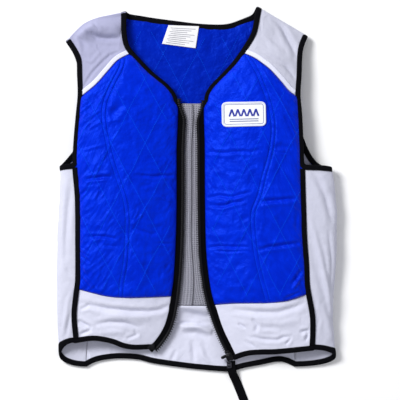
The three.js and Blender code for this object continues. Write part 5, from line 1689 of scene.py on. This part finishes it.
def build_stitches():
    blue, white = [], []
    for side_name in SIDES:
        front = parts[side_name]["front"]
        blue += princess_lines(side_name)
        blue += diamond_lines(f"{side_name}_front_quilted", outline_of(front["middle"], 7),
                              DIAMOND_CENTRE[side_name], 3.1, SEEDS[side_name])
        seam = front["middle"][0, 6:-6, :2]
        toward = np.gradient(seam, axis=0)
        sideways = unit(np.stack([-toward[:, 1], toward[:, 0]], -1))
        sideways *= np.sign(sideways[:, 1:])
        for reach in (2.6, 7.6):
            white.append(laid_on(f"{side_name}_yoke", spaced(seam + sideways * reach, 3.2), 0.7))
        strip = ribbon(f"{side_name}_yoke", spaced(seam + sideways * 5.1, TAPE_STEP), 7.6, 0.6)
        # The strip uses the brighter white copy, which is painted light.
        make_piece(f"{side_name}_yoke_strip", *strip, WHITE_STRIP_PAINTED_LIGHT, "white_stretch", [])
    stitched("quilting_stitches", blue, BLUE_THREAD, "blue_quilt", 2.3, 0.8)
    inside = diamond_lines("back_quilted", outline_of(back["top"], 7), DIAMOND_CENTRE["back"], 3.4,
                           SEEDS["back"])
    stitched("back_quilting_stitches", inside, BLUE_THREAD, "blue_quilt", 2.3, 0.7)
    stitched("yoke_stitches", white, WHITE_THREAD, "white_stretch", 2.4, 0.8)
    black = tape_stitches(neck_stations()) + tape_stitches(hem_stations())
    for side_name in SIDES:
        black += tape_stitches(armhole_stations(side_name))
    stitched("tape_stitches", black, BLACK_THREAD, "black_binding", 2.4, 0.6)


def turned(points, angle):
    cos, sin = math.cos(angle), math.sin(angle)
    x, y = points[..., 0], points[..., 1]
    return np.stack([x * cos - y * sin, x * sin + y * cos], -1)


def ribbon(surface, curve, width, height, closed=False):
    """Thin raised strip that lies on a piece along a curve in plan."""
    points, normals = laid_on(surface, curve)
    if closed:
        ahead = np.roll(points, -1, axis=0) - np.roll(points, 1, axis=0)
    else:
        ahead = np.gradient(points, axis=0)
    inwards = unit(np.cross(normals, ahead))
    half = width / 2
    section = [
        (half, -0.2), (half, height * 0.6), (half * 0.5, height), (-half * 0.5, height),
        (-half, height * 0.6), (-half, -0.2),
    ]
    swept, faces, _ = sweep((points, inwards), section, closed)
    if not closed:
        faces = np.vstack([faces, cap_faces(len(points), len(section))])
    return swept, halved(faces)


PATCH_WIDTH, PATCH_HEIGHT, PATCH_CORNER, PATCH_TURN = 77, 43, 8, 0.02


def build_patch():
    """Woven patch sewn to the left front: a raised edge, a line inside it and a plain motif."""
    v = np.linspace(-1, 1, 44) * PATCH_HEIGHT / 2
    corner = np.maximum(0, np.abs(v) - (PATCH_HEIGHT / 2 - PATCH_CORNER))
    half = PATCH_WIDTH / 2 - PATCH_CORNER + np.sqrt(np.maximum(0.2, PATCH_CORNER ** 2 - corner ** 2))
    u = np.linspace(-1, 1, 70)
    flat = np.stack([half[:, None] * u, v[:, None] * np.ones(70)], -1)[::-1]
    plan = turned(flat, PATCH_TURN) + patch_spot
    points, _ = laid_on("left_front_quilted", plan.reshape(-1, 2), 0.1)
    grid = points.reshape(*plan.shape[:2], 3)
    for _ in range(30):
        height = grid[..., 2]
        padded = np.pad(height, 1, mode="edge")
        around = (padded[:-2, 1:-1] + padded[2:, 1:-1] + padded[1:-1, :-2] + padded[1:-1, 2:]) / 4
        grid[..., 2] = np.maximum(around, height - 0.02)
    cloth_piece("patch", grid, 1.1, 0.1, PATCH, "patch_cloth", ["chest_patch"])

    def ring(inset):
        outline = round_corners(PATCH_WIDTH - 2 * inset, PATCH_HEIGHT - 2 * inset, PATCH_CORNER - inset, 8)
        return turned(spaced(np.vstack([outline, outline[:1]]), 1.2)[:-1], PATCH_TURN) + patch_spot

    edge = ribbon("patch", ring(1.4), 2.6, 0.7, closed=True)
    make_piece("patch_edge", *edge, PATCH_EDGE, "patch_cloth", [])
    line = ribbon("patch", ring(4.4), 1.0, 0.3, closed=True)
    make_piece("patch_line", *line, PATCH_GREY, "patch_cloth", [])
    bars = []
    for y in (-8.5, -12.2):
        bar = np.array([(-25, y), (25, y)])
        bars.append(ribbon("patch", turned(spaced(bar, 1.2), PATCH_TURN) + patch_spot, 1.6, 0.35))
    make_piece("patch_bars", *merged(bars), PATCH_GREY, "patch_cloth", [])
    chevrons = []
    for k in range(5):
        middle = (k - 2) * 10.5
        shape = np.array([(middle - 4.4, -3.6), (middle, 8.4), (middle + 4.4, -3.6)])
        chevrons.append(ribbon("patch", turned(spaced(shape, 0.9), PATCH_TURN) + patch_spot, 3.2, 0.5))
    make_piece("patch_motif", *merged(chevrons), PATCH_BLUE, "patch_cloth", [])


LABEL_CORNERS = [(-0.203, 0.051), (0.017, 0.054), (-0.008, 0.113), (-0.249, 0.101)]


def build_label():
    """Satin care label sewn inside the neck along its top, with plain pale rules."""
    a, b, c, d = (place(*corner) for corner in LABEL_CORNERS)

    def at(u, v):
        u, v = np.asarray(u)[..., None], np.asarray(v)[..., None]
        return lerp(lerp(a, b, u), lerp(d, c, u), v)

    v, u = np.meshgrid(np.linspace(0, 1, 34), np.linspace(0, 1, 48), indexing="ij")
    plan = at(u, v)
    points, _ = laid_on("back_quilted", plan.reshape(-1, 2), 0.3)
    grid = points.reshape(*plan.shape[:2], 3)
    smoothed = grid[..., 2].mean() * 0.7 + grid[..., 2] * 0.3
    curl = 1.2 * v ** 2 * (0.6 + 0.4 * np.cos(5 * u + 1)) + 0.3
    grid[..., 2] = np.maximum(smoothed, grid[..., 2]) + curl
    cloth_piece("label", grid, 0.3, 0.3, LABEL, "label_cloth", ["care_label"])
    rules = []
    for k, v in enumerate(np.linspace(0.14, 0.9, 9)):
        line = np.vstack([at(0.1 + 0.05 * (k % 2), v), at(0.9 - 0.12 * (k % 3), v)])
        rules.append(ribbon("label", spaced(line, 1.5), 1.1, 0.1))
    make_piece("label_rules", *merged(rules), LABEL_RULE, "label_cloth", [])


build_stitches()
build_patch()
build_label()


# Lights, as rows of name, place, size and power.
LIGHTS = [
    ("key", (-2.4, 2.0, 2.8), 1.5, 182),
    ("fill", (1.6, -1.0, 1.9), 1.6, 7),
]
CAMERA_PLACE = (0.00557, 0.0139, 8.0)
CAMERA_LENS = 411.6


def studio():
    """Pale floor, soft lights and a camera straight above, as the photograph has."""
    scene = bpy.context.scene
    scene.view_settings.view_transform = "Standard"
    bpy.ops.mesh.primitive_plane_add(size=6, location=(0, 0, -0.0004))
    floor = bpy.context.object
    floor.name = "floor"
    pale, _, _, shader = new_material("pale_floor", 0.9)
    shader.inputs["Base Color"].default_value = (0.97, 0.97, 0.97, 1)
    floor.data.materials.append(pale)
    world = bpy.data.worlds.new("soft_room")
    scene.world = world
    world.use_nodes = True
    world.node_tree.nodes["Background"].inputs["Color"].default_value = (0.93, 0.94, 1, 1)
    world.node_tree.nodes["Background"].inputs["Strength"].default_value = 0.45
    for name, place_at, size, power in LIGHTS:
        light = bpy.data.lights.new(name, "AREA")
        light.size = size
        light.energy = power
        lamp = bpy.data.objects.new(name, light)
        lamp.location = place_at
        lamp.rotation_euler = Vector(place_at).to_track_quat("Z", "Y").to_euler()
        scene.collection.objects.link(lamp)
    camera = bpy.data.cameras.new("camera")
    camera.lens = CAMERA_LENS
    camera.clip_end = 100
    eye = bpy.data.objects.new("camera", camera)
    eye.location = CAMERA_PLACE
    scene.collection.objects.link(eye)
    scene.camera = eye


studio()
